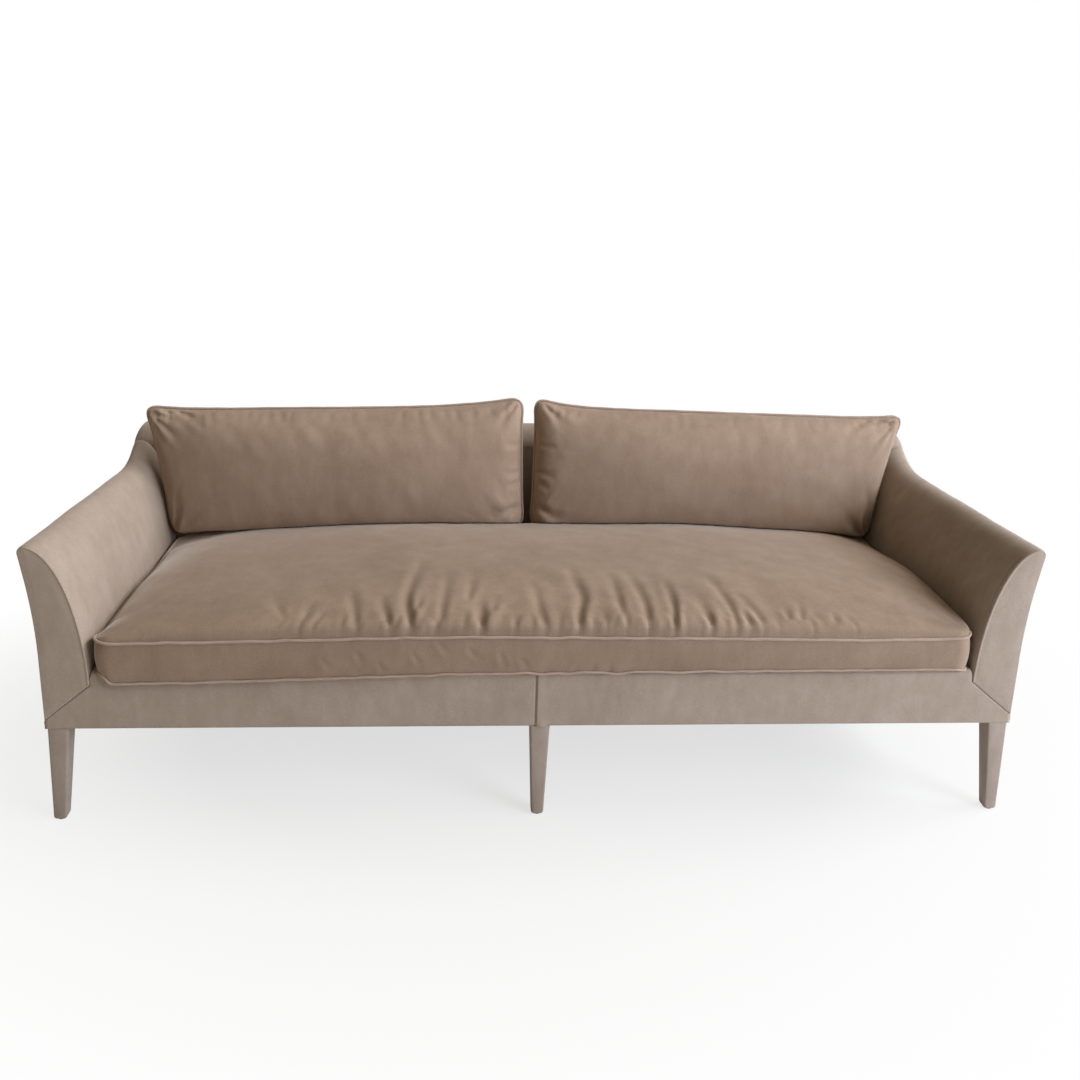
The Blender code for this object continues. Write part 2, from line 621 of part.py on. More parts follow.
def outside_ring(top, along_arm, along_wing, start, side):
    """One upright slice of an outside arm."""
    outer = []
    inner = []
    for step in range(SIDE_STEPS + 1):
        height = RAIL_BOTTOM + (top - RAIL_BOTTOM) * step / SIDE_STEPS
        depth = start + along_arm * (front_face(height) - start) + along_wing * BACK_THICKNESS
        across = outside_x(min(height, WING_PANEL_TOP), depth)
        outer.append((across, depth, height))
        inner.append((across - COVER, depth, height))
    return mirrored([*outer, *reversed(inner)], side)


def back_roll(near, far, rise):
    """Rounded top between two depths."""
    points = []
    for step in range(ROLL_STEPS + 1):
        angle = math.pi * step / ROLL_STEPS
        depth = (near + far) / 2 - (far - near) / 2 * math.cos(angle)
        points.append((depth, ROLL_Z + rise * math.sin(angle)))
    return points


def back_section(foot, rise, hollow):
    """Hooked section of the inside back as depth and height, with the rise of its top and hollow."""
    outer = back_roll(front_face(ROLL_Z), rear_face(ROLL_Z), rise)
    inner = back_roll(front_face(ROLL_Z) + BACK_PAD, rear_face(ROLL_Z) - COVER, hollow)
    return [
        (front_face(foot), foot), *outer,
        (rear_face(BACK_LIP_Z), BACK_LIP_Z), (rear_face(BACK_LIP_Z) - COVER, BACK_LIP_Z),
        *reversed(inner), (front_face(foot) + BACK_PAD, foot)]


def make_back_covers(velvet, frame):
    """Inside back with its wings, and the outside back."""
    hollow = ROLL_RISE - ROLL_PAD
    half = []
    for step in range(WING_STEPS + 1):
        angle = math.pi / 2 * (1 - step / WING_STEPS)
        drop = 1 - math.cos(angle)
        inset = WING_RADIUS * (1 - math.sin(angle))
        section = back_section(BACK_CUT_Z, ROLL_RISE - WING_RADIUS * drop, hollow - WING_FILL * drop)
        half.append([
            (outside_x(min(height, WING_PANEL_TOP), depth) - COVER - WING_SEAM - inset, depth, height)
            for depth, height in section])
    for across, foot in ((SEAT_X + BACK_TUCK + BACK_TUCK_RUN, BACK_CUT_Z), (SEAT_X + BACK_TUCK, DECK_BOTTOM)):
        half.append([(across, depth, height) for depth, height in back_section(foot, ROLL_RISE, hollow)])
    rings = [*[mirrored(ring, -1.0) for ring in half], *reversed(half)]
    inside = add_loft("inside_back", rings, velvet, frame)

    rings = []
    for label, side in SIDES:
        outer = []
        inner = []
        for step in range(SIDE_STEPS + 1):
            height = RAIL_BOTTOM + (BACK_LIP_Z - FIT - RAIL_BOTTOM) * step / SIDE_STEPS
            depth = rear_face(height)
            across = side * (outside_x(height, depth) - COVER - WING_SEAM)
            outer.append((across, depth, height))
            inner.append((across, depth - COVER, height))
        rings.append([*outer, *reversed(inner)])
    add_loft("outside_back", rings, velvet, frame)
    return inside


def unit_block(cells):
    """Cube from -1 to 1 whose sides are divided into cells along X, Y and Z."""
    shape = bmesh.new()
    bmesh.ops.create_cube(shape, size=2.0)
    for axis, count in enumerate(cells):
        along = [edge for edge in shape.edges
                 if abs(edge.verts[0].co[axis] - edge.verts[1].co[axis]) > 1.0]
        bmesh.ops.subdivide_edges(shape, edges=along, cuts=count - 1, use_grid_fill=True)
    return shape


def seat_rear():
    """Depth of the seat cushion's rear seams."""
    return front_face(DECK_TOP) - SEAT_BACK_GAP - SEAT_BULGE


def seat_dome(across, along):
    """Height of the stuffed seat from 0 at its edges to 1, falling away sooner to the rear."""
    power = SEAT_REAR_POWER if along > 0 else CROWN_POWER
    return (1 - abs(across) ** CROWN_POWER) * (1 - abs(along) ** power)


def swell(place, other):
    """Outward swelling of a side band, full at the edge and none at the seams."""
    return math.copysign(abs(place) ** EDGE_POWER, place) * (1 - other ** 2)


def make_seat_cushion(velvet, frame):
    """Boxed bench cushion: flat underside, crowned top, edges drawn in between the corners."""
    shape = unit_block(SEAT_CELLS)
    low = DECK_TOP + FIT
    front = -OVERALL_DEPTH / 2 + SEAT_BULGE
    rear = seat_rear()
    half_width = SEAT_X - SEAT_SIDE_GAP
    half_depth = (rear - front) / 2
    for vert in shape.verts:
        across, along, up = vert.co
        vert.co = (
            across * (half_width - SEAT_DRAW * (1 - along ** 2)) + SEAT_BULGE * swell(across, up),
            (front + rear) / 2 + along * half_depth + SEAT_BULGE * swell(along, up),
            low + SEAT_BOXING * (1 + up) / 2 + (SEAT_CROWN * seat_dome(across, along) if up == 1.0 else 0.0))
    bmesh.ops.triangulate(shape, faces=shape.faces)
    item = add_object("seat_cushion", shape, velvet, (0.0, (front + rear) / 2, low), frame)
    shade_round(item)
    return item


def plump(out, up):
    """Swell of a knife-edged cushion, from 0 at its seams to 1, with its foot pressed flat."""
    lost = 1.0 if up > 0 else 1.0 - BACK_CUSHION_BASE
    return (1 - abs(out) ** CROWN_POWER) * (1 - lost * abs(up) ** CROWN_POWER)


def back_cushion_shape(side):
    """Knife-edged back cushion that leans with the back, and its corners' places in the unit block."""
    shape = unit_block(BACK_CUSHION_CELLS)
    places = [vert.co.copy() for vert in shape.verts]
    foot_width = SEAT_X - CUSHION_SIDE_GAP / 2 - BACK_CUSHION_ARM_GAP
    for vert in shape.verts:
        out, along, up = vert.co
        width = foot_width + BACK_CUSHION_SPREAD * (1 + up) / 2
        across = width / 2 + out * (width / 2 - BACK_CUSHION_SIDE_DRAW * (1 - up ** 2))
        swelling = BACK_CUSHION_REAR if along > 0 else BACK_CUSHION_FRONT
        depth = along * (BACK_CUSHION_SEAM / 2 + swelling * plump(out, up))
        rise = up * (BACK_CUSHION_HEIGHT / 2 - BACK_CUSHION_DRAW * (1 - out ** 2))
        vert.co = (side * across, depth, rise)
    lean = Matrix.Rotation(-math.atan(BACK_RAKE), 3, "X")
    roll = Matrix.Rotation(side * BACK_CUSHION_ROLL, 3, "Y")
    bmesh.ops.rotate(shape, verts=shape.verts, matrix=lean @ roll)
    bmesh.ops.triangulate(shape, faces=shape.faces)
    return shape, places


def facing_points(shape, way):
    """Points along the edges of the faces that look along a direction."""
    shape.normal_update()
    points = []
    for edge in shape.edges:
        if any(face.normal.dot(way) > 0 for face in edge.link_faces):
            first, second = edge.verts
            points.extend(first.co.lerp(second.co, step / EDGE_SAMPLES) for step in range(EDGE_SAMPLES + 1))
    return points


def surface_of(item, way):
    """Search tree of an object's surface and points on its side that something meets, moving that way."""
    shape = bmesh.new()
    shape.from_mesh(item.data)
    bmesh.ops.transform(shape, matrix=item.matrix_world, verts=shape.verts)
    tree = BVHTree.FromBMesh(shape)
    points = facing_points(shape, -way)
    shape.free()
    return tree, points


def room(shape, tree, points, way):
    """How far a shape can go along a direction before it meets a surface."""
    gaps = []
    for target, starts, heading in (
            (tree, facing_points(shape, way), way), (BVHTree.FromBMesh(shape), points, -way)):
        for point in starts:
            hit = target.ray_cast(point - heading * SETTLE_REACH, heading)
            if hit[0] is not None:
                gaps.append(hit[3] - SETTLE_REACH)
    return min(gaps)


def settle(shape, surfaces):
    """Push a cushion against each surface in turn until it rests on them all."""
    for _ in range(SETTLE_ROUNDS):
        for tree, points, way in surfaces:
            gap = room(shape, tree, points, way) - CUSHION_FIT
            bmesh.ops.translate(shape, verts=shape.verts, vec=way * gap)


def sink_foot(shape, places, tree, side_limit, rear_limit):
    """Let the lower half of a cushion give way, down along the back, so that it lies on the seat."""
    gaps = []
    feet = {}
    columns = [(round(place.x * BACK_CUSHION_CELLS[0]), place.y > 0) for place in places]
    for vert, place, column in zip(shape.verts, places, columns):
        across = max(-side_limit, min(side_limit, vert.co.x))
        start = Vector((across, min(vert.co.y, rear_limit), vert.co.z + SETTLE_REACH))
        gap = tree.ray_cast(start, Vector((0.0, 0.0, -1.0)))[3] - SETTLE_REACH
        gaps.append(max(0.0, min(BACK_CUSHION_SINK, gap)))
        if place.z == -1.0:
            feet[column] = gaps[-1]
    slope = Vector((0.0, -BACK_RAKE, -1.0))
    for vert, place, column, gap in zip(shape.verts, places, columns, gaps):
        if place.z < 0:
            vert.co += slope * min(gap, place.z ** 2 * feet[column])


def make_back_cushions(velvet, seat, inside_back):
    """Two back cushions that stand on the seat cushion and lean on the inside back."""
    rearward = Vector((0.0, 1.0, 0.0))
    down = Vector((0.0, 0.0, -1.0))
    seat_tree, seat_points = surface_of(seat, down)
    back_tree, back_points = surface_of(inside_back, rearward)
    surfaces = ((back_tree, back_points, rearward), (seat_tree, seat_points, down))
    seat_top = max(point.z for point in seat_points)
    side_limit = SEAT_X - SEAT_SIDE_GAP - SEAT_DRAW - FIT
    rear_limit = seat_rear() - FIT
    for label, side in SIDES:
        shape, places = back_cushion_shape(side)
        inmost = min(side * vert.co.x for vert in shape.verts)
        lowest = min(vert.co.z for vert in shape.verts)
        place = Vector((side * (CUSHION_SIDE_GAP / 2 - inmost), 0.0, seat_top - lowest))
        bmesh.ops.translate(shape, verts=shape.verts, vec=place)
        settle(shape, surfaces)
        sink_foot(shape, places, seat_tree, side_limit, rear_limit)
        settle(shape, surfaces)
        centre = sum((vert.co for vert in shape.verts), Vector()) / len(shape.verts)
        item = add_object(f"{label}_back_cushion", shape, velvet, centre, seat)
        shade_round(item)


def main():
    clear_scene()
    velvet = make_material("taupe_velvet", "937f6f", 0.85, 0.0)
    cloth = make_material("leg_velvet", "8c7868", 0.85, 0.0)
    wood = make_material("beech", "c49a6c", 0.55, 0.0)
    webbing = make_material("elastic_webbing", "8a7a55", 0.80, 0.0)
    platform = make_material("platform_cloth", "5f554c", 0.90, 0.0)
    cambric = make_material("black_cambric", "1d1c1c", 0.95, 0.0)
    steel = make_material("zinc_plated_steel", "b9bcc0", 0.35, 1.0)
    nylon = make_material("black_nylon", "222222", 0.50, 0.0)
    frame = add_empty("sofa_frame")
    cutters = make_legs(cloth, nylon, steel, frame)
    make_seat_frame(wood, frame, cutters)
    make_arm_frame(wood, frame, cutters)
    make_back_frame(wood, frame)
    make_suspension(webbing, frame)
    make_seat_covers(velvet, platform, cambric, frame)
    make_arm_covers(velvet, frame)
    inside_back = make_back_covers(velvet, frame)
    seat = make_seat_cushion(velvet, frame)
    make_back_cushions(velvet, seat, inside_back)


main()
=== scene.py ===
"""Velvet three-seat sofa: covers, cushions, piping and legs, with their stage, light and camera.

Metres, +Z up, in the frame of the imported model. Left and right are those of a viewer who faces the sofa.
"""
from math import asin, atan, cos, pi, radians, sin

import bpy
import numpy as np
from mathutils import Matrix, Vector
from mathutils.bvhtree import BVHTree


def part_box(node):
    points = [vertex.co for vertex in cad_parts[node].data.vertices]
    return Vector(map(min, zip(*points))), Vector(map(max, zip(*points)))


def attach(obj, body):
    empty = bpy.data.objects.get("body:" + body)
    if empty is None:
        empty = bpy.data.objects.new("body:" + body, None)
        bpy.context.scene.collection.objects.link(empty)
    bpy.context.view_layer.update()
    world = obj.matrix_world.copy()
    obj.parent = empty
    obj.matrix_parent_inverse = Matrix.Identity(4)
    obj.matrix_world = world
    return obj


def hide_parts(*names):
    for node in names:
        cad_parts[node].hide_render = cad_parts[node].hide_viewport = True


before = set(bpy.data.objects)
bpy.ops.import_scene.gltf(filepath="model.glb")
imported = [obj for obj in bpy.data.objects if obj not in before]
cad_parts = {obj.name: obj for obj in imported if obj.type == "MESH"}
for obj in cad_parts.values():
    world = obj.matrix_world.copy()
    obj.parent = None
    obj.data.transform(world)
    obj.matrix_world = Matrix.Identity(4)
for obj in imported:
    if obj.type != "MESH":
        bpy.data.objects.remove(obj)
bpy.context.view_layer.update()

bpy.ops.object.select_all(action="DESELECT")

SIDES = (("left", -1.0), ("right", 1.0))
WHITE = (1.0, 1.0, 1.0, 1.0)

# Lines of the frame and its covers, as in the solids. Only the arms' sweep up to the back (SWEEP_RISE and
# SWEEP_POWER) and the wing's top corner (WING_RADIUS) are tighter than there, after the photo.
TIP_X = 1.100  # outermost point of the arms
TIP_RADIUS = 0.0145  # rolled outer edge of the arm crest
CREST_X = TIP_X - TIP_RADIUS
BODY_X = 1.078  # outside arm at the seat rails
SEAT_X = 0.975  # inside arm at the seat deck
FACE_Y = -0.422  # face of the rail and of the arm facings
REAR_Y = 0.430  # rear of the back at its roll
FACING = 0.006  # thickness of an arm's facing
COVER = 0.005  # thickness of an outside panel
WING_SEAM = 0.0015  # gap at the seam of the back's ends
FIT = 0.0003  # clearance between pieces
RAIL_BOTTOM = 0.2303
DECK_BOTTOM = 0.3494
DECK_TOP = 0.3649
NOSE_DEPTH = 0.055
MITRE_TOP = 0.3363
MITRE_BOTTOM = 0.2513
RAIL_SEAM = -0.009  # seam of the rail's cover, off the middle
ARM_HEIGHT = 0.655
ARM_RISE = ARM_HEIGHT - MITRE_TOP
ARM_DROP = 0.023
ARM_TOE = 0.010
LIP_Z = 0.600
FLARE_START = 0.400
FLARE = 0.016
FLARE_FADE = 0.40
SWEEP_START = 0.80
SWEEP_RISE = 0.052
SWEEP_POWER = 3.2
BACK_RAKE = 0.1525
BACK_THICKNESS = 0.152
ROLL_Z = 0.660
ROLL_RISE = 0.052
BACK_LIP_Z = 0.620
BACK_CUT_Z = 0.590
BACK_TUCK = 0.020
BACK_TUCK_RUN = 0.035
WING_RADIUS = 0.020
WING_PANEL_TOP = 0.6595
LEG_TOP = 0.045
LEG_FOOT = 0.028
LEG_LOW = 0.0033
LEG_HIGH = 0.230
LEG_X = 1.0525
LEG_FRONT_Y = -0.3965
LEG_REAR_Y = 0.33897
LEG_TAPER = 0.0085
LEG_SPLAY = 0.006

# Seat cushion
SEAT_FRONT = -0.4350  # front seams
SEAT_REAR = 0.227  # rear seams
SEAT_HALF_DEPTH = (SEAT_REAR - SEAT_FRONT) / 2
SEAT_HALF = 0.963  # side seams
SEAT_DRAW = 0.003  # edges drawn in between the corners
SEAT_CORNER = 0.042  # rounded corners, seen from above
SEAT_LOW = 0.3652  # underside
SEAT_BOXING = 0.088  # height of the boxing at the sides and the rear
SEAT_CROWN = 0.060  # top of the crown over the side seams
SEAT_BULGE = 0.0045  # swell of the boxing between its seams
SEAT_ROLL = 0.019  # run of the top panel's roll behind the front seam
SEAT_OVERHANG = 0.007  # reach of that roll over the seam
SEAT_LEFT_DROP = 0.026  # side seam at the left, tucked down beside the arm
SEAT_SLUMP = 0.030  # rear ends pressed down by the back cushions
SEAT_STAND = 0.46  # share of the crown that stands up at once behind the front seam
SEAT_HUMPS = ((-0.27, 0.14, 0.006), (0.37, 0.16, 0.004))  # x, width and height of two high places
SEAT_TOP_PIPING = 0.0032  # radius
SEAT_FOOT_PIPING = 0.0028
# Height of the two front seams along the width: the boxing hangs a little over the rail to the left
SEAM_PLACES = (-0.955, -0.730, -0.460, -0.310, -0.150, 0.000, 0.350, 0.710, 0.955)
TOP_SEAM = (0.4410, 0.4450, 0.4510, 0.4545, 0.4565, 0.4550, 0.4525, 0.4475, 0.4510)
FOOT_SEAM = (0.3470, 0.3505, 0.3590, 0.3640, 0.3690, 0.3695, 0.3725, 0.3745, 0.3760)
TOP_WAVE, FOOT_WAVE = 0.0010, 0.0026  # how far the two seams wander where their cloth is slack
SLACK_PLACES, SLACK = (-0.55, -0.35, 0.20, 0.40), (0.2, 1.0, 1.0, 0.2)
FRONT_EDGE = 40.0  # power that keeps a change to the front edge
RIM = 30  # power that keeps a change to the rim
# How steeply the top panel rises from its side seams, from the front (-1) to the rear: a small power is steep
ROLL_STATIONS = (-1.0, -0.85, 0.0, 0.6, 0.85)
LEFT_ROLL = (0.74, 0.51, 0.57, 0.61, 1.2)
RIGHT_ROLL = (0.26, 0.24, 0.32, 0.38, 0.76)
GATHERED = (-0.62, 0.72)  # x of the gathers along the front seam
GATHER_SLACK = 0.02  # share of cloth that is gathered there
SEAT_FOLDS_KEPT = 0.35  # share of the folds that is put back after the cloth run has eased them

# Back cushions
BACK_FOOT_WIDTH = 0.968
BACK_SPREAD = {"left": 0.060, "right": 0.076}  # how much wider the top is
BACK_HEIGHT = 0.338
BACK_FRONT = 0.085  # swell of the front panel
BACK_REAR = 0.050  # swell of the rear panel
BACK_BASE = 0.60  # share of the swell that stays at the foot
BACK_DRAW = 0.026  # top and foot drawn in between the corners
BACK_EAR = {"left": 3.5, "right": 7.0}  # power of the inner ear: a large one is narrow
BACK_OUTER_EAR = 0.46  # height of the outer ear, as a share of the inner one's
BACK_OUTER_POWER = 8.0
BACK_SIDE_DRAW = 0.008  # sides drawn in between the corners
BACK_SHOULDER = (0.060, 0.042)  # rounding of the inner and the outer end
BACK_FIRM = (0.56, 0.36)  # share of the swell that stands up at once at these ends
BACK_ROLL = {"left": radians(1.1), "right": radians(1.35)}
BACK_CORNER = 0.042
BACK_PIPING = 0.0035
BACK_SLACK = (1.02, 1.16)  # cloth as cut to its seams, across and up
BACK_PLACE = {"left": (-0.01131, 0.2217, 0.6516), "right": (0.01131, 0.2215, 0.6517)}
BACK_SINK = 0.045  # most that a foot gives way to reach the seat
BACK_FOLDS_KEPT = 0.6

# Cloth run: a limp cotton blown out by its filling for a few steps, with no weight of its own
CLOTH = {
    "quality": 5, "mass": 0.3, "air_damping": 2.0, "use_pressure": True,
    "tension_stiffness": 15.0, "compression_stiffness": 15.0,
    "shear_stiffness": 5.0, "bending_stiffness": 0.2,
    "tension_damping": 5.0, "compression_damping": 5.0, "shear_damping": 5.0, "bending_damping": 0.5,
}
CLOTH_STEPS = 14
CLOTH_REACH = 0.025  # most that a point moves in the run
SEAT_PRESSURE = 0.3
BACK_PRESSURE = 1.0

# Sewn edges
SEAM_ROUND = 0.003  # roll of the cloth into a seam
TUCK_ROUND = 0.008  # roll of a pad into the joint with the next one


def linear(code):
    """Linear colour of an sRGB hex value."""
    parts = [int(code[start:start + 2], 16) / 255 for start in (1, 3, 5)]
    return [((c + 0.055) / 1.055) ** 2.4 if c > 0.04045 else c / 12.92 for c in parts] + [1.0]


def wire(tree, node, inputs):
    """Give a node's inputs their values, or link them to sockets."""
    for key, value in inputs.items():
        if isinstance(value, bpy.types.NodeSocket):
            tree.links.new(value, node.inputs[key])
        else:
            node.inputs[key].default_value = value


def add(tree, kind, inputs=None, **settings):
    """Node of a kind with its settings and inputs."""
    node = tree.nodes.new(kind)
    for key, value in settings.items():
        setattr(node, key, value)
    wire(tree, node, inputs or {})
    return node


def noise(tree, place, scale, detail, roughness=0.5):
    """Noise with a number of patches to the metre."""
    inputs = {"Vector": place, "Scale": scale, "Detail": detail, "Roughness": roughness}
    return add(tree, "ShaderNodeTexNoise", inputs).outputs["Fac"]


def maths(tree, operation, *values):
    return add(tree, "ShaderNodeMath", dict(enumerate(values)), operation=operation).outputs["Value"]


def stretched(tree, place, scale):
    """Place scaled along each axis, for a pattern that runs one way."""
    return add(tree, "ShaderNodeMapping", {"Vector": place, "Scale": scale}).outputs["Vector"]


def bumped(tree, height, strength, distance):
    inputs = {"Height": height, "Strength": strength, "Distance": distance}
    return add(tree, "ShaderNodeBump", inputs).outputs["Normal"]


def new_material(name):
    material = bpy.data.materials.new(name)
    material.use_nodes = True
    tree = material.node_tree
    shader = tree.nodes["Principled BSDF"]
    place = add(tree, "ShaderNodeTexCoord").outputs["Object"]
    return material, tree, shader, place


def ramp(tree, fac, stops):
    """Colours along a factor."""
    node = add(tree, "ShaderNodeValToRGB", {"Fac": fac})
    bar = node.color_ramp
    for index, (spot, code) in enumerate(stops):
        stop = bar.elements[index] if index < 2 else bar.elements.new(spot)
        stop.position = spot
        stop.color = linear(code)
    return node.outputs["Color"]


# Short-pile cotton velvet. The pile lies in hand-sized patches, about 110 mm, that turn lighter or darker,
# looks matt face on and pale where the surface turns away. The pile itself, about 0.5 mm, is drawn at 2.5 mm
# so that it shows. Two shades of the same cloth: painted shade on the seat's copy and painted light on the
# back cushions'.
def brushed_velvet(name, deep, face, worn, seed):
    material, tree, shader, place = new_material(name)
    moved = add(tree, "ShaderNodeMapping", {"Vector": place, "Location": (seed, seed * 0.7, seed * 0.3)})
    spot = moved.outputs["Vector"]
    nap = noise(tree, spot, 9.0, 4.0, 0.55)
    stroke = noise(tree, stretched(tree, spot, (38.0, 38.0, 14.0)), 1.0, 3.0, 0.6)
    pile = noise(tree, spot, 420.0, 2.0, 0.7)
    lay = maths(tree, "MULTIPLY_ADD", stroke, 0.26, maths(tree, "MULTIPLY", nap, 0.32))
    grain = maths(tree, "MULTIPLY_ADD", pile, 0.42, lay)
    wire(tree, shader, {
        "Base Color": ramp(tree, grain, ((0.22, deep), (0.78, worn), (0.50, face))),
        "Normal": bumped(tree, pile, 0.28, 0.0012),
        "Roughness": 0.92,
        "Specular IOR Level": 0.12,
        "Sheen Weight": 0.60,
        "Sheen Roughness": 0.35,
        "Sheen Tint": linear("#efe7df"),
    })
    return material


# Beech, planed and left bare: fine straight grain with short dark rays.
def planed_beech(name):
    material, tree, shader, place = new_material(name)
    grain = noise(tree, stretched(tree, place, (6.0, 60.0, 60.0)), 1.5, 5.0)
    fleck = noise(tree, stretched(tree, place, (120.0, 700.0, 700.0)), 1.0, 1.0)
    both = maths(tree, "MULTIPLY_ADD", fleck, 0.35, grain)
    colour = ramp(tree, both, ((0.42, "#b78955"), (0.85, "#dcb98a")))
    wire(tree, shader, {"Base Color": colour, "Roughness": 0.62})
    return material


# A woven band or cloth: threads cross at a pitch given in millimetres, drawn by two sets of waves.
def woven(name, dark, light, pitch_mm, rough):
    material, tree, shader, place = new_material(name)
    waves = {"Vector": place, "Scale": 2 * pi / (pitch_mm / 1000) / 20, "Distortion": 0.6}
    threads = [add(tree, "ShaderNodeTexWave", waves, bands_direction=way).outputs["Fac"] for way in "XY"]
    cross = maths(tree, "MULTIPLY", *threads)
    colour = ramp(tree, cross, ((0.0, dark), (0.8, light)))
    wire(tree, shader, {"Base Color": colour, "Normal": bumped(tree, cross, 0.4, 0.0006), "Roughness": rough})
    return material


def speckled(name, scale, detail, stops, rough, metal=0.0):
    """Surface whose colour wanders in fine specks, a number of them to the metre."""
    material, tree, shader, place = new_material(name)
    colour = ramp(tree, noise(tree, place, scale, detail), stops)
    wire(tree, shader, {"Base Color": colour, "Metallic": metal, "Roughness": rough})
    return material


def mesh_rows(rows, key):
    """Numbers of a mesh as rows of x, y and z."""
    flat = np.empty(len(rows) * 3)
    rows.foreach_get(key, flat)
    return flat.reshape(-1, 3)


def points_of(item):
    return mesh_rows(item.data.vertices, "co")


def normals_of(item):
    return mesh_rows(item.data.vertex_normals, "vector")


def put_points(item, points):
    item.data.vertices.foreach_set("co", np.ascontiguousarray(points).ravel())
    item.data.update()


def unit(values):
    return np.clip(values, 0.0, 1.0)


def beside(*lines):
    """Rows of points from lines of x, y and z."""
    return np.stack(lines, axis=1)


def bell(distance, width):
    return np.exp(-(distance / width) ** 2)


def linked(name, data):
    """New object in the scene."""
    item = bpy.data.objects.new(name, data)
    bpy.context.scene.collection.objects.link(item)
    return item


def drift(points, size, seed):
    """Soft unevenness, about -1 to 1, whose waves are about a size long."""
    draw = np.random.default_rng(seed)
    total = np.zeros(len(points))
    for wave in range(7):
        way = draw.normal(size=3)
        way /= np.linalg.norm(way)
        length = size * draw.uniform(0.7, 1.5)
        total += np.sin(points @ way * (2 * pi / length) + draw.uniform(0, 2 * pi))
    return total / 4.0


def seam_fall(distance, radius):
    """How far cloth has rolled back at a distance from its seam."""
    inside = np.clip(radius - distance, 0.0, radius)
    return radius - np.sqrt(radius ** 2 - inside ** 2)


def spaced(points, count):
    """Line of points set out again at even steps."""
    points = np.asarray(points)
    steps = np.linalg.norm(np.diff(points, axis=0), axis=1)
    travel = np.concatenate([[0.0], np.cumsum(steps)])
    places = np.linspace(0.0, travel[-1], count)
    return np.stack([np.interp(places, travel, points[:, axis]) for axis in range(points.shape[1])], axis=1)


def apply_all(item):
    bpy.context.view_layer.objects.active = item
    for modifier in list(item.modifiers):
        bpy.ops.object.modifier_apply(modifier=modifier.name)


def laid_grid(name, columns, rows, place):
    """Grid laid where place(u, v) says."""
    bpy.ops.object.select_all(action="DESELECT")
    bpy.ops.mesh.primitive_grid_add(x_subdivisions=columns, y_subdivisions=rows, size=1.0)
    item = bpy.context.object
    item.name = item.data.name = name
    flat = points_of(item)
    put_points(item, place(flat[:, 0] + 0.5, flat[:, 1] + 0.5))
    return item


def thicken(item, thickness):
    """Wall behind a surface."""
    wall = item.modifiers.new("wall", "SOLIDIFY")
    wall.thickness = thickness
    wall.offset = -1.0
    apply_all(item)


def cloth_panel(name, columns, rows, place, outward, thickness):
    """Laid grid that faces outward, with its thickness behind it."""
    item = laid_grid(name, columns, rows, place)
    facing = normals_of(item).mean(axis=0)
    if np.dot(facing, outward) < 0:
        item.data.flip_normals()
    weld = item.modifiers.new("weld", "WELD")
    weld.merge_threshold = 0.00002
    thicken(item, thickness)
    bpy.ops.object.shade_smooth()
    return item


def dress(item, material, body, slot, *nodes):
    """Material and body of a piece, and the CAD nodes that it stands for, which are hidden. The record slot
    is not used.
    """
    item.data.materials.clear()
    item.data.materials.append(material)
    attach(item, body)
    if nodes:
        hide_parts(*nodes)
    item.select_set(False)


def rear_face(height):
    return REAR_Y - BACK_RAKE * (ROLL_Z - height)


def front_face(height):
    return rear_face(height) - BACK_THICKNESS


def outside_x(height, depth):
    lift = np.maximum(0.0, height - FLARE_START) / (LIP_Z - FLARE_START)
    along = (depth - FACE_Y) / (REAR_Y - FACE_Y)
    return BODY_X + FLARE * (1.0 - FLARE_FADE * along) * lift ** 2


def arm_stretch(along):
    crest = ARM_HEIGHT - ARM_DROP * np.minimum(1.0, along / SWEEP_START)
    swept = np.maximum(0.0, along - SWEEP_START) / (1.0 - SWEEP_START)
    return (crest + SWEEP_RISE * swept ** SWEEP_POWER - MITRE_TOP) / ARM_RISE


def arm_toe(along, height):
    return ARM_TOE * along * ((height - MITRE_TOP) / ARM_RISE) ** 2


def arm_curve(foot, count):
    """Inside arm in front view, from a foot height up to the crest, as x and z."""
    angle = np.linspace(asin((foot - MITRE_TOP) / ARM_RISE), pi / 2, count)
    across = CREST_X - (CREST_X - SEAT_X) * np.cos(angle)
    return beside(across, MITRE_TOP + ARM_RISE * np.sin(angle))


def tip_curve(count):
    """Rolled edge from the crest to its widest point."""
    angle = np.linspace(pi / 2, 0.0, count)[1:]
    height = ARM_HEIGHT - TIP_RADIUS + TIP_RADIUS * np.sin(angle)
    return beside(CREST_X + TIP_RADIUS * np.cos(angle), height)


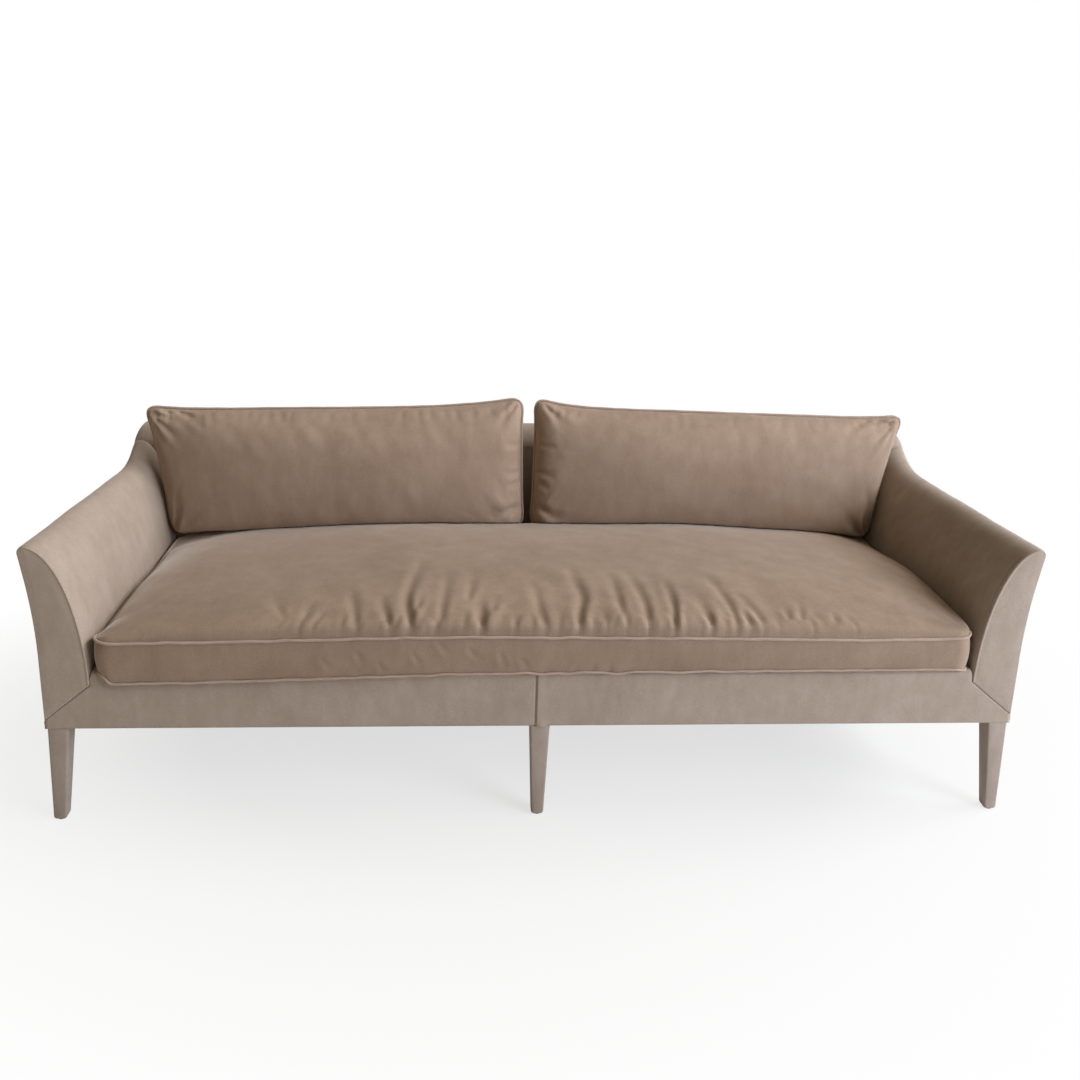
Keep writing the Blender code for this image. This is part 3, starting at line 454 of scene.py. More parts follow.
def inside_arm(label, side, velvet):
    """Padded inside arm: up from the deck, over the crest and down to its lip outside."""
    tip_z = ARM_HEIGHT - TIP_RADIUS
    lip = beside(np.full(30, TIP_X), np.linspace(tip_z, LIP_Z, 31)[1:])
    section = spaced(np.concatenate([arm_curve(DECK_BOTTOM, 200), tip_curve(40), lip]), 160)
    share = np.linspace(0.0, 1.0, len(section))
    tangent = np.gradient(section, axis=0)
    tangent /= np.linalg.norm(tangent, axis=1)[:, None]
    past = unit((tip_z - section[:, 1]) / (tip_z - LIP_Z)) * (section[:, 0] > CREST_X)
    start = FACE_Y + FACING / 2
    lines = (*section.T, -tangent[:, 1], tangent[:, 0], past)

    def place(u, along):
        across, height, turn_x, turn_z, down = (np.interp(u, share, line) for line in lines)
        height = MITRE_TOP + (height - MITRE_TOP) * arm_stretch(along)
        run = front_face(height) - FIT - start
        depth = start + along * run
        across = across - arm_toe(along, height)
        lip_x = outside_x(np.minimum(height, LIP_Z), depth) + 0.0012
        across = across + down ** 0.8 * (lip_x - across)
        points = beside(side * across, depth, height)
        puff = 0.0010 * drift(points, 0.22, 3 + int(side)) + 0.0004 * drift(points, 0.05, 5 + int(side))
        puff -= seam_fall(along * run, SEAM_ROUND) + seam_fall((1 - along) * run, TUCK_ROUND)
        points[:, 0] += side * turn_x * puff
        points[:, 2] += turn_z * puff
        return points

    item = cloth_panel(f"{label}_inside_arm_pad", 120, 150, place, (-side, 0.0, 0.4), 0.004)
    dress(item, velvet, "frame", "upholstery_velvet", f"{label}_inside_arm")


def arm_facing(label, side, velvet):
    """Front panel of an arm, between the curved seam, the outside arm and the mitre seam."""
    inner = spaced(arm_curve(MITRE_TOP, 200), 200)
    heights = np.linspace(MITRE_BOTTOM, LIP_Z, 120)
    outer_line = beside(outside_x(heights, FACE_Y), heights)
    outer = spaced(np.concatenate([outer_line, tip_curve(40)[::-1], [[CREST_X, ARM_HEIGHT]]]), 200)
    share = np.linspace(0.0, 1.0, 200)
    mitre = np.array([BODY_X - SEAT_X, MITRE_BOTTOM - MITRE_TOP])
    mitre_normal = np.array([-mitre[1], mitre[0]]) / np.linalg.norm(mitre)

    def place(u, v):
        across = (1 - np.cos(pi * u)) / 2
        rise = v ** 1.15
        near = np.stack([np.interp(rise, share, inner[:, axis]) for axis in (0, 1)], axis=1)
        far = np.stack([np.interp(rise, share, outer[:, axis]) for axis in (0, 1)], axis=1)
        spot = near + across[:, None] * (far - near)
        width = np.linalg.norm(far - near, axis=1)
        side_gap = np.minimum(across, 1 - across) * width
        foot_gap = np.abs((spot - np.array([SEAT_X, MITRE_TOP])) @ mitre_normal)
        fall = np.maximum(seam_fall(side_gap, SEAM_ROUND), seam_fall(foot_gap, SEAM_ROUND))
        points = beside(side * spot[:, 0], np.full(len(u), FACE_Y), spot[:, 1])
        soft = np.minimum(1.0, np.minimum(side_gap, foot_gap) / 0.02)
        points[:, 1] += fall - soft * (0.0012 + 0.0008 * drift(points, 0.12, 11 + int(side)))
        points[:, 1] -= 0.0016 * bell(across * width - 0.0035, 0.0022)
        return points

    item = cloth_panel(f"{label}_arm_facing_velvet", 40, 120, place, (0.0, -1.0, 0.0), 0.002)
    dress(item, velvet, "frame", "upholstery_velvet", f"{label}_arm_facing")


def outside_arm(label, side, velvet):
    """Flat outer panel of an arm and of the back's end."""
    start = FACE_Y + FACING / 2
    arm_share = 0.80

    def place(u, v):
        along = np.minimum(1.0, u / arm_share)
        wing = np.maximum(0.0, u - arm_share) / (1 - arm_share)
        lip = MITRE_TOP + (LIP_Z - MITRE_TOP) * arm_stretch(along) + 0.004
        step = unit(wing / 0.08)
        top = lip + step * (WING_PANEL_TOP - lip)
        height = RAIL_BOTTOM + (top - RAIL_BOTTOM) * v
        depth = start + along * (front_face(height) - start) + wing * BACK_THICKNESS
        across = outside_x(np.minimum(height, WING_PANEL_TOP), depth)
        edge = np.minimum(depth - start, rear_face(height) - depth)
        points = beside(side * across, depth, height)
        fall = np.maximum(seam_fall(edge, SEAM_ROUND), seam_fall(height - RAIL_BOTTOM, SEAM_ROUND))
        points[:, 0] -= side * (fall + 0.0007 * (1 - drift(points, 0.25, 21 + int(side))))
        return points

    item = cloth_panel(f"{label}_outside_arm_velvet", 150, 70, place, (side, 0.0, 0.0), 0.0035)
    dress(item, velvet, "frame", "upholstery_velvet", f"{label}_outside_arm")


def inside_back(velvet):
    """Padded inside back with its rounded top and wing ends."""
    flat_share, end_share = 0.90, 0.975
    face_share, roll_share = 0.45, 0.85
    mid_depth = (front_face(ROLL_Z) + rear_face(ROLL_Z)) / 2
    half_depth = BACK_THICKNESS / 2

    def place(u, v):
        way = np.sign(u - 0.5)
        span = np.abs(u - 0.5) * 2
        turn = unit((span - flat_share) / (end_share - flat_share)) * pi / 2
        drop = WING_RADIUS * (1 - np.cos(turn))
        inset = np.where(span < flat_share, WING_RADIUS, WING_RADIUS * (1 - np.sin(turn)))
        closing = unit((span - end_share) / (1 - end_share))
        rough_x = np.minimum(span / flat_share, 1.0) * (BODY_X - WING_RADIUS) + (WING_RADIUS - inset)
        cut = unit((rough_x - SEAT_X - BACK_TUCK) / BACK_TUCK_RUN)
        foot = DECK_BOTTOM + cut * (BACK_CUT_Z - DECK_BOTTOM)
        face = v < face_share
        behind = v > roll_share
        angle = unit((v - face_share) / (roll_share - face_share)) * pi
        rounded = ROLL_Z + (ROLL_RISE - drop) * np.sin(angle)
        hanging = ROLL_Z - (ROLL_Z - BACK_LIP_Z) * (v - roll_share) / (1 - roll_share)
        height = np.where(face, foot + (ROLL_Z - foot) * v / face_share, rounded)
        height = np.where(behind, hanging, height)
        depth = np.where(face, front_face(height), mid_depth - half_depth * np.cos(angle))
        depth = np.where(behind, rear_face(height), depth)
        edge = outside_x(np.minimum(height, WING_PANEL_TOP), depth) - COVER - WING_SEAM
        across = np.where(span < flat_share, span / flat_share * (edge - WING_RADIUS), edge - inset)
        depth = depth + closing * (mid_depth - depth)
        height = height + closing * (ROLL_Z - 0.03 - height)
        points = beside(way * across, depth, height)
        puff = 0.0012 * drift(points, 0.3, 31)
        points[:, 1] -= np.where(face, puff, 0.0)
        points[:, 2] += np.where(face | behind, 0.0, puff * np.sin(angle))
        return points

    item = cloth_panel("inside_back_pad", 340, 120, place, (0.0, -0.3, 1.0), 0.004)
    dress(item, velvet, "frame", "upholstery_velvet", "inside_back")


def outside_back(velvet):
    """Flat panel behind the back."""
    def place(u, v):
        height = RAIL_BOTTOM + (BACK_LIP_Z - RAIL_BOTTOM) * v
        depth = rear_face(height)
        edge = outside_x(height, depth) - COVER - WING_SEAM
        across = (2 * u - 1) * edge
        points = beside(across, depth, height)
        gap = np.minimum(edge - np.abs(across), np.minimum(height - RAIL_BOTTOM, BACK_LIP_Z - height))
        points[:, 1] -= seam_fall(gap, SEAM_ROUND) + 0.0008 * (1 - drift(points, 0.3, 41))
        return points

    item = cloth_panel("outside_back_velvet", 220, 50, place, (0.0, 1.0, 0.0), 0.0035)
    dress(item, velvet, "frame", "upholstery_velvet", "outside_back")


def rail_cover(velvet):
    """Front rail's cover: one lapped seam near the middle, mitred ends, and a nose over the rail."""
    nose_round = 0.010
    flat_share, face_share, turn_share, round_share = 0.94, 0.62, 0.80, 0.1
    wall_step = 0.0006

    def place(u, v):
        way = np.sign(u - 0.5)
        span = np.abs(u - 0.5) * 2
        reach = span / flat_share
        end_run = (span - flat_share) / (1 - flat_share) * (BODY_X - SEAT_X - wall_step + FIT)
        across = np.where(
            span < flat_share, (0.25 * reach + 0.75 * reach ** 2) * (SEAT_X - FIT),
            SEAT_X - FIT + wall_step + end_run)
        beyond = unit((across - SEAT_X) / (BODY_X - SEAT_X))
        brow = MITRE_TOP + beyond * (MITRE_BOTTOM - MITRE_TOP)
        low = v < face_share
        height = RAIL_BOTTOM + (brow - RAIL_BOTTOM) * np.minimum(v / face_share, 1.0)
        depth = np.full(len(u), FACE_Y)
        ended = span >= flat_share
        straight = unit((v - face_share) / (turn_share - face_share))
        up = MITRE_TOP + straight * (DECK_TOP - nose_round - MITRE_TOP)
        turn = unit((v - turn_share) / round_share) * pi / 2
        back = unit((v - turn_share - round_share) / (1 - turn_share - round_share))
        up = up + nose_round * np.sin(turn)
        in_depth = FACE_Y + nose_round * (1 - np.cos(turn)) + back * (NOSE_DEPTH - nose_round)
        height = np.where(low | ended, height, up)
        depth = np.where(low | ended, depth, in_depth)
        points = beside(way * across, depth, height)
        gap = np.where(ended, (brow - height) * 0.77, 1.0)
        gap = np.minimum(gap, height - RAIL_BOTTOM)
        points[:, 0] += RAIL_SEAM * bell(points[:, 0], 0.15)
        from_seam = points[:, 0] - RAIL_SEAM
        lap = unit((from_seam + 0.001) / 0.002)
        stitch = bell(from_seam + 0.0025, 0.0022)
        soft = unit(gap / 0.02)
        lap = lap * bell(from_seam, 0.018)
        knot = bell(from_seam - 0.012, 0.010) * bell(height - RAIL_BOTTOM, 0.010)
        points[:, 1] += seam_fall(np.maximum(gap, 0.0), SEAM_ROUND) + 0.0026 * stitch - 0.0020 * lap
        points[:, 1] -= soft * 0.0008 * drift(points, 0.16, 51)
        points[:, 1] -= 0.004 * knot
        return points

    item = cloth_panel("front_rail_velvet", 420, 50, place, (0.0, -1.0, 0.3), 0.002)
    dress(item, velvet, "frame", "upholstery_velvet", "front_rail_cover")


def seat_platform(cloth):
    """Thin pad under the seat cushion, sewn to the rail's cover in front and tucked in at its other edges."""
    low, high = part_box("seat_deck")
    roll = 0.006

    def place(u, v):
        across = low[0] + u * (high[0] - low[0])
        depth = low[1] + v * (high[1] - low[1])
        points = beside(across, depth, np.full(len(u), high[2] - 0.0012))
        edge = np.minimum.reduce([across - low[0], high[0] - across, depth - low[1], high[1] - depth])
        points[:, 2] += 0.0008 * drift(points, 0.12, 81) * unit(edge / 0.03) - seam_fall(edge, roll)
        return points

    item = cloth_panel("seat_platform_pad", 160, 60, place, (0.0, 0.0, 1.0), 0.008)
    dress(item, cloth, "frame", "platform_cloth", "seat_deck")


def pick(item, kind, wanted):
    """Select the corners, edges or faces that are wanted, and stay in edit mode."""
    bpy.ops.object.mode_set(mode="EDIT")
    bpy.ops.mesh.select_mode(type=kind)
    bpy.ops.mesh.select_all(action="DESELECT")
    bpy.ops.object.mode_set(mode="OBJECT")
    mesh = item.data
    for part in {"VERT": mesh.vertices, "EDGE": mesh.edges, "FACE": mesh.polygons}[kind]:
        part.select = bool(wanted(part))
    bpy.ops.object.mode_set(mode="EDIT")


def dust_sheet(fleece):
    """Sheet stapled under the seat rails, cut out round the legs, hanging a little between the rails."""
    low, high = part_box("dust_cover")
    notch = LEG_TOP / 2 + 0.002
    lines_x = (low[0], notch - LEG_X, -notch, notch, LEG_X - notch, high[0])
    lines_y = (low[1], LEG_FRONT_Y + notch, LEG_REAR_Y - notch, high[1])
    cells_x = (0, 2, 42, 44, 84, 86)
    cells_y = (0, 2, 30, 32)

    def place(u, v):
        across = np.interp(u * cells_x[-1], cells_x, lines_x)
        depth = np.interp(v * cells_y[-1], cells_y, lines_y)
        a = across / high[0]
        b = (2 * depth - low[1] - high[1]) / (high[1] - low[1])
        points = beside(across, depth, np.full(len(u), high[2] - 0.0004))
        points[:, 2] -= (1 - a ** 2) * (1 - b ** 2) * (0.006 + 0.002 * drift(points, 0.3, 91))
        return points

    item = laid_grid("dust_sheet", cells_x[-1], cells_y[-1], place)
    item.data.flip_normals()
    pick(item, "FACE", lambda face: (abs(face.center.x) < notch or abs(face.center.x) > lines_x[-2]) and not (
        lines_y[1] < face.center.y < lines_y[2]))
    bpy.ops.mesh.delete(type="FACE")
    bpy.ops.object.mode_set(mode="OBJECT")
    thicken(item, 0.0006)
    bpy.ops.object.shade_smooth_by_angle(angle=radians(40))
    dress(item, fleece, "frame", "dust_cambric", "dust_cover")


def wrapped_leg(name, across, depth, lean, outward, velvet):
    """Tapered square leg wrapped in cloth, with rounded edges and its foot drawn in at the bottom."""
    bpy.ops.object.select_all(action="DESELECT")
    middle = (LEG_LOW + LEG_HIGH) / 2
    bpy.ops.mesh.primitive_cube_add(size=1.0, location=(across, depth, middle))
    item = bpy.context.object
    item.name = item.data.name = f"{name}_leg_velvet"
    item.scale = (LEG_TOP, LEG_TOP, LEG_HIGH - LEG_LOW)
    bpy.ops.object.transform_apply(location=True, rotation=False, scale=True)
    pick(item, "VERT", lambda vert: vert.co.z < middle)
    shrink = LEG_FOOT / LEG_TOP
    bpy.ops.transform.resize(value=(shrink, shrink, 1.0), center_override=(across, depth, LEG_LOW))
    bpy.ops.transform.translate(value=(lean * (LEG_TAPER + LEG_SPLAY), outward * LEG_TAPER, 0.0))
    ends = [vert.co.z for vert in item.data.vertices]
    pick(item, "EDGE", lambda edge: abs(ends[edge.vertices[0]] - ends[edge.vertices[1]]) > LEG_TOP)
    bpy.ops.mesh.bevel(offset=0.0045, offset_type="OFFSET", segments=4, affect="EDGES")
    bpy.ops.mesh.select_all(action="SELECT")
    bpy.ops.mesh.bisect(plane_co=(across, depth, LEG_LOW + 0.004), plane_no=(0.0, 0.0, 1.0))
    pick(item, "FACE", lambda face: face.normal.z < -0.9)
    bpy.ops.transform.resize(value=(0.86, 0.86, 1.0))
    bpy.ops.object.mode_set(mode="OBJECT")
    bpy.ops.object.shade_smooth_by_angle(angle=radians(40))
    dress(item, velvet, "frame", "leg_velvet", f"{name}_leg")


def grid_quads(columns, rows):
    wide = columns + 1
    return [(first, first + 1, first + wide + 1, first + wide)
            for row in range(rows) for first in range(row * wide, row * wide + columns)]


def grid_rim(columns, rows):
    """Outer corners of a grid, in order round it."""
    wide = columns + 1
    rim = list(range(wide)) + [row * wide + columns for row in range(1, rows + 1)]
    rim += [rows * wide + column for column in range(columns - 1, -1, -1)]
    return rim + [row * wide for row in range(rows - 1, 0, -1)]


def boxed_form(columns, rows, bands):
    """Closed box of quads in unit places, closer set in front, and the corners of its top and foot seams."""
    line = [np.linspace(-1.0, 1.0, count + 1) for count in (columns, rows)]
    line[0] = 0.75 * line[0] + 0.25 * np.sin(line[0] * pi / 2)
    line[1] = 2 * (0.32 * (1 + line[1]) / 2 + 0.68 * ((1 + line[1]) / 2) ** 2) - 1
    grid = [(a, b) for b in line[1] for a in line[0]]
    rim = grid_rim(columns, rows)
    places = [(a, b, 1.0) for a, b in grid] + [(a, b, -1.0) for a, b in grid]
    faces = []
    for quad in grid_quads(columns, rows):
        first, second, third, fourth = (index + len(grid) for index in quad)
        faces += [quad, (first, fourth, third, second)]
    rings = [rim]
    for band in range(1, bands):
        start = len(places)
        up = 1.0 - 2.0 * band / bands
        places += [(*grid[index], up) for index in rim]
        rings.append(list(range(start, start + len(rim))))
    rings.append([index + len(grid) for index in rim])
    for high, low in zip(rings, rings[1:]):
        for step in range(len(rim)):
            after = (step + 1) % len(rim)
            faces.append((high[step], low[step], low[after], high[after]))
    return np.array(places), faces, rings[0], rings[-1]


def knife_form(columns, rows):
    """Closed pillow of quads in unit places: a front and a rear panel that share their rim."""
    ease = 0.5
    line = [np.linspace(-1.0, 1.0, count + 1) for count in (columns, rows)]
    line = [(1 - ease) * flat + ease * np.sin(flat * pi / 2) for flat in line]
    front = [(a, -1.0, b) for b in line[1] for a in line[0]]
    rim = grid_rim(columns, rows)
    shared = set(rim)
    places = list(front)
    rear = {}
    for index, (a, side, b) in enumerate(front):
        rear[index] = index
        if index not in shared:
            rear[index] = len(places)
            places.append((a, 1.0, b))
    faces = []
    for quad in grid_quads(columns, rows):
        faces += [quad, tuple(rear[index] for index in reversed(quad))]
    return np.array(places), faces, rim


def round_corner(across, along, half_across, half_along, radius):
    """Points of a rectangle drawn into round corners."""
    near_a = np.abs(across) - (half_across - radius)
    near_b = np.abs(along) - (half_along - radius)
    corner = (near_a > 0) & (near_b > 0)
    p = unit(near_a / radius)
    q = unit(near_b / radius)
    new_a = np.sign(across) * (half_across - radius + radius * p * np.sqrt(1 - q ** 2 / 2))
    new_b = np.sign(along) * (half_along - radius + radius * q * np.sqrt(1 - p ** 2 / 2))
    return np.where(corner, new_a, across), np.where(corner, new_b, along)


def mesh_piece(name, points, faces):
    mesh = bpy.data.meshes.new(name)
    mesh.from_pydata(points.tolist(), [], faces)
    mesh.update()
    item = linked(name, mesh)
    for face in mesh.polygons:
        face.use_smooth = True
    return item


def settled_cloth(start, cut, faces, pinned, pressure):
    """Cloth held along its pinned seams, cut to its own lengths and blown out by the filling behind it."""
    item = mesh_piece("cloth_run", start, faces)
    item.shape_key_add(name="sewn")
    pattern = item.shape_key_add(name="cut")
    pattern.data.foreach_set("co", np.ascontiguousarray(cut).ravel())
    pattern.value = 0.0
    item.vertex_groups.new(name="seams").add([int(index) for index in pinned], 1.0, "REPLACE")
    run = item.modifiers.new("cloth", "CLOTH")
    cloth = run.settings
    cloth.vertex_group_mass = "seams"
    cloth.rest_shape_key = pattern
    for key, value in CLOTH.items():
        setattr(cloth, key, value)
    cloth.uniform_pressure_force = pressure
    cloth.effector_weights.gravity = 0.0
    run.collision_settings.use_collision = False
    run.collision_settings.use_self_collision = False
    run.point_cache.frame_start = 1
    run.point_cache.frame_end = CLOTH_STEPS
    for step in range(1, CLOTH_STEPS + 1):
        bpy.context.scene.frame_set(step)
    shown = item.evaluated_get(bpy.context.evaluated_depsgraph_get())
    shaped = points_of(shown)
    bpy.context.scene.frame_set(1)
    bpy.data.objects.remove(item, do_unlink=True)
    moved = shaped - start
    reach = np.linalg.norm(moved, axis=1)
    return start + moved * np.minimum(1.0, CLOTH_REACH / np.maximum(reach, 1e-9))[:, None]


def from_line(spots, path):
    """Distance of each spot right or left of a line of points, and how far along the line it is nearest."""
    path = np.asarray(path)
    steps = np.linalg.norm(np.diff(path, axis=0), axis=1)
    total = steps.sum()
    best = np.full(len(spots), 1e9)
    hand = np.ones(len(spots))
    where = np.zeros(len(spots))
    gone = 0.0
    for start, end, length in zip(path, path[1:], steps):
        run = end - start
        share = unit((spots - start) @ run / length ** 2)
        gap = np.linalg.norm(spots - (start + share[:, None] * run), axis=1)
        turn = (spots[:, 0] - start[0]) * run[1] - (spots[:, 1] - start[1]) * run[0]
        closer = gap < best
        best = np.where(closer, gap, best)
        hand = np.where(closer, np.sign(turn), hand)
        where = np.where(closer, (gone + share * length) / total, where)
        gone += length
    return best * hand, where


def crease(spots, path, depth, width):
    """Pressed-in fold with soft lips beside it, deepest near the start of its line."""
    path = np.asarray(path)
    for again in range(2):
        ahead = np.diff(path, axis=0)
        cut = beside(path[:-1] + 0.25 * ahead, path[:-1] + 0.75 * ahead).reshape(-1, 2)
        path = np.concatenate([path[:1], cut, path[-1:]])
    gap, where = from_line(spots, path)
    strength = unit(1 - where) ** 0.8 * unit(0.45 + where * 6)
    away = gap / (width * (0.75 + 0.9 * where))
    lips = 0.50 * bell(away - 1.9, 1.2) + 0.25 * bell(away + 1.9, 1.2)
    return depth * strength * (lips - bell(away, 1.0))


# Folds of the seat's top panel from its front seam backwards, in millimetres: depth, half width, x and y
SEAT_FOLDS = (
    (4.8, 9, ((-403, -434), (-416, -362), (-439, -275))),
    (6.2, 8, ((-330, -434), (-352, -370), (-362, -325))),
    (7.2, 11, ((-284, -434), (-300, -373), (-299, -322), (-285, -238), (-262, -89))),
    (3.5, 7, ((-274, -385), (-270, -306))),
    (4.5, 9, ((-223, -430), (-219, -355), (-206, -207))),
    (8, 11, ((-133, -434), (-137, -385), (-139, -340))),
    (3.5, 9, ((-164, -350), (-151, -232))),
    (3.5, 8, ((-109, -390), (-101, -329))),
    (4.5, 9, ((4, -434), (-8, -378), (-11, -302), (-30, -260))),
    (7.6, 10, ((78, -434), (83, -380), (96, -340), (82, -270), (76, -190))),
    (4.5, 9, ((176, -395), (171, -290), (167, -215))),
    (5.5, 9, ((232, -432), (228, -330), (205, -215))),
    (7, 7, ((288, -434), (295, -360), (292, -260))),
    (4.5, 9, ((372, -432), (347, -330))),
    (5.5, 9, ((424, -434), (421, -360), (392, -228))),
    (3.5, 7, ((409, -414), (395, -355))),
    (4.5, 8, ((484, -432), (466, -364), (440, -320))),
    (3, 7, ((544, -412), (547, -367))),
    (3, 7, ((573, -412), (587, -344))),
    (2.5, 8, ((648, -418), (652, -379))),
    (3, 10, ((-515, -405), (-505, -330))),
    (2.5, 10, ((-565, -400), (-593, -344), (-620, -300))),
)
# Slack folds of the seat's front boxing, down and to the right, in millimetres: x and z of both ends
BOXING_FOLDS = (
    ((-477, 405), (-455, 382)), ((-404, 421), (-384, 392)),
    ((-355, 393), (-340, 373)), ((-283, 419), (-258, 385)),
    ((-228, 443), (-200, 413)), ((-162, 427), (-128, 397)),
    ((-94, 420), (-80, 378)), ((-49, 408), (-28, 376)),
    ((70, 370), (78, 392)), ((110, 370), (112, 395)), ((150, 371), (144, 390)),
)


def seat_shape(a, b, c):
    """Plump seat before its folds: unit places across, back and up become points."""
    across = a * (SEAT_HALF - SEAT_DRAW * (1 - b ** 2))
    along = b * SEAT_HALF_DEPTH
    across, along = round_corner(across, along, SEAT_HALF, SEAT_HALF_DEPTH, SEAT_CORNER)
    front = unit(-along / SEAT_HALF_DEPTH) ** 3
    level = SEAT_LOW + SEAT_BOXING
    seam_line = beside(across, along, 0 * along)
    slack = np.interp(across, SLACK_PLACES, SLACK)
    high = level + front * (np.interp(across, SEAM_PLACES, TOP_SEAM) - level)
    high = high + front ** FRONT_EDGE * slack * TOP_WAVE * drift(seam_line, 0.07, 65)
    # To the right the underside lifts off the rail from farther behind the edge
    lift = np.interp(across, (0.0, 0.3), (FRONT_EDGE, 14.0))
    wander = slack * FOOT_WAVE * drift(seam_line, 0.075, 66)
    low = SEAT_LOW + front ** lift * (np.interp(across, SEAM_PLACES, FOOT_SEAM) - SEAT_LOW + wander)
    # The crown: arched across, rolled over the front seam and falling away to the rear
    arch = np.interp(b, (-1.0, 0.0, 0.6), (4.0, 3.0, 2.4))
    steepness = np.where(a < 0, *(np.interp(b, ROLL_STATIONS, powers) for powers in (LEFT_ROLL, RIGHT_ROLL)))
    ends = (1 - np.abs(a) ** arch) ** steepness
    behind = unit((1 + b) * SEAT_HALF_DEPTH / SEAT_ROLL)
    roll = SEAT_STAND * np.sqrt(1 - (1 - behind) ** 2) + (1 - SEAT_STAND) * (1 - np.abs(b) ** 2.6) ** 0.9
    dome = ends * np.where(b > 0, (1 - np.abs(b) ** 2) ** 0.75, roll)
    # The side seam dips at the left, and both ends of the rear lie under the back cushions
    left_side = unit((-a - 0.86) / 0.14) * np.interp(b, (-0.96, -0.70, 0.10, 0.55), (0.0, 1.0, 1.0, 0.3))
    high = high - SEAT_LEFT_DROP * left_side
    lean_on = unit(1.3 * b + 0.2)
    high = high - SEAT_SLUMP * np.abs(a) ** 5 * lean_on ** 2 * (3 - 2 * lean_on)
    humps = sum(rise * bell(across - place, width) for place, width, rise in SEAT_HUMPS)
    crown = np.where(c == 1.0, dome * (level + SEAT_CROWN + humps - high), 0.0)
    swell = SEAT_BULGE * (1 - c ** 2)
    overhang = np.where(c == 1.0, SEAT_OVERHANG * ends * np.sin(pi * behind) ** 0.8, 0.0)
    return beside(
        across + np.sign(a) * np.abs(a) ** RIM * swell,
        (SEAT_FRONT + SEAT_REAR) / 2 + along + np.sign(b) * np.abs(b) ** RIM * swell - overhang,
        low + (high - low) * (1 + c) / 2 + crown)


def seat_creases(a, b, c, points):
    """How far folds, gathers and unevenness push each point of the seat out."""
    top = c == 1.0
    change = np.zeros(len(points))
    spread = points[top][:, :2]
    for depth, width, path in SEAT_FOLDS:
        change[top] += 0.8 * crease(spread, np.divide(path, 1000), depth / 1000, width / 1000)
    # Short gathers along the front seam, lower at its ends and turned to its middle
    draw = np.random.default_rng(64)
    spot, last = GATHERED
    while spot < last:
        start = (spot, SEAT_FRONT + 0.001)
        reach = draw.uniform(0.015, 0.060)
        end = (spot + reach * (draw.uniform(-0.2, 0.2) - 0.7 * spot), SEAT_FRONT + 0.006 + reach)
        depth = (0.0006 + 0.0044 * draw.uniform(0.0, 1.0) ** 2.2) * np.interp(
            spot, (GATHERED[0], -0.35, 0.50, last), (0.35, 1.0, 1.0, 0.4))
        change[top] += crease(spread, (start, end), depth, draw.uniform(0.0040, 0.0075))
        spot += draw.uniform(0.010, 0.045)
    # Slow unevenness inside, and nothing at the seams themselves
    side_gap = (1 - np.abs(a[top])) * SEAT_HALF
    end_gap = (1 - np.abs(b[top])) * SEAT_HALF_DEPTH
    inner = unit(side_gap / 0.03) * unit(end_gap / 0.02)
    change[top] += inner * (0.0022 * drift(points[top], 0.26, 61) + 0.0008 * drift(points[top], 0.07, 62))
    change[top] *= unit(end_gap / 0.003) * unit(side_gap / 0.008)
    band = (np.abs(c) < 1.0) & (b < -0.99)
    for path in BOXING_FOLDS:
        change[band] += 1.2 * crease(points[band][:, (0, 2)], np.divide(path, 1000), 0.0022, 0.005)
    change[band] += 0.0010 * drift(points[band], 0.06, 63)
    return change


def seat_pattern(sheet, columns, rows):
    """Cloth of the top panel as it is cut: wider than its seam where the front is gathered."""
    sewn = sheet.reshape(rows + 1, columns + 1, 3)
    cut = sewn.copy()
    full = np.clip(1.15 - np.abs((cut[..., 0] - 0.05) / 0.62) ** 3, 0.15, 1.0)
    gather = GATHER_SLACK * np.exp(-(cut[..., 1] - SEAT_FRONT) / 0.13) * full
    wide = np.cumsum(np.diff(cut[..., 0], axis=1) * (1 + gather[:, 1:]), axis=1)
    cut[:, 1:, 0] = cut[:, :1, 0] + wide
    cut[..., 0] -= (cut[:, columns // 2, 0] - sewn[:, columns // 2, 0])[:, None]
    return cut.reshape(-1, 3)


def seat_cushion(velvet):
    """Boxed bench cushion: crowned top, drawn-in sides, folds gathered behind the front piping."""
    columns, rows = 360, 80
    places, faces, top_rim, foot_rim = boxed_form(columns, rows, 14)
    a, b, c = places.T
    points = seat_shape(a, b, c)
    item = mesh_piece("seat_cushion_velvet", points, faces)
    folds = normals_of(item) * seat_creases(a, b, c, points)[:, None]
    points = points + folds
    count = (columns + 1) * (rows + 1)
    sheet = points[:count]
    pinned = grid_rim(columns, rows)
    top_faces = [face for face in faces if max(face) < count]
    cut = seat_pattern(sheet, columns, rows)
    points[:count] = settled_cloth(sheet, cut, top_faces, pinned, SEAT_PRESSURE)
    points[:count] += SEAT_FOLDS_KEPT * folds[:count]
    put_points(item, points)
    dress(item, velvet, "seat_cushion", "cushion_velvet", "seat_cushion")
    final = points_of(item)
    piping("seat_top_piping", final[top_rim], SEAT_TOP_PIPING, (0.0, 0.0, 1.0), "seat_cushion")
    piping("seat_foot_piping", final[foot_rim], SEAT_FOOT_PIPING, (0.0, 0.0, 1.0), "seat_cushion")
    return item


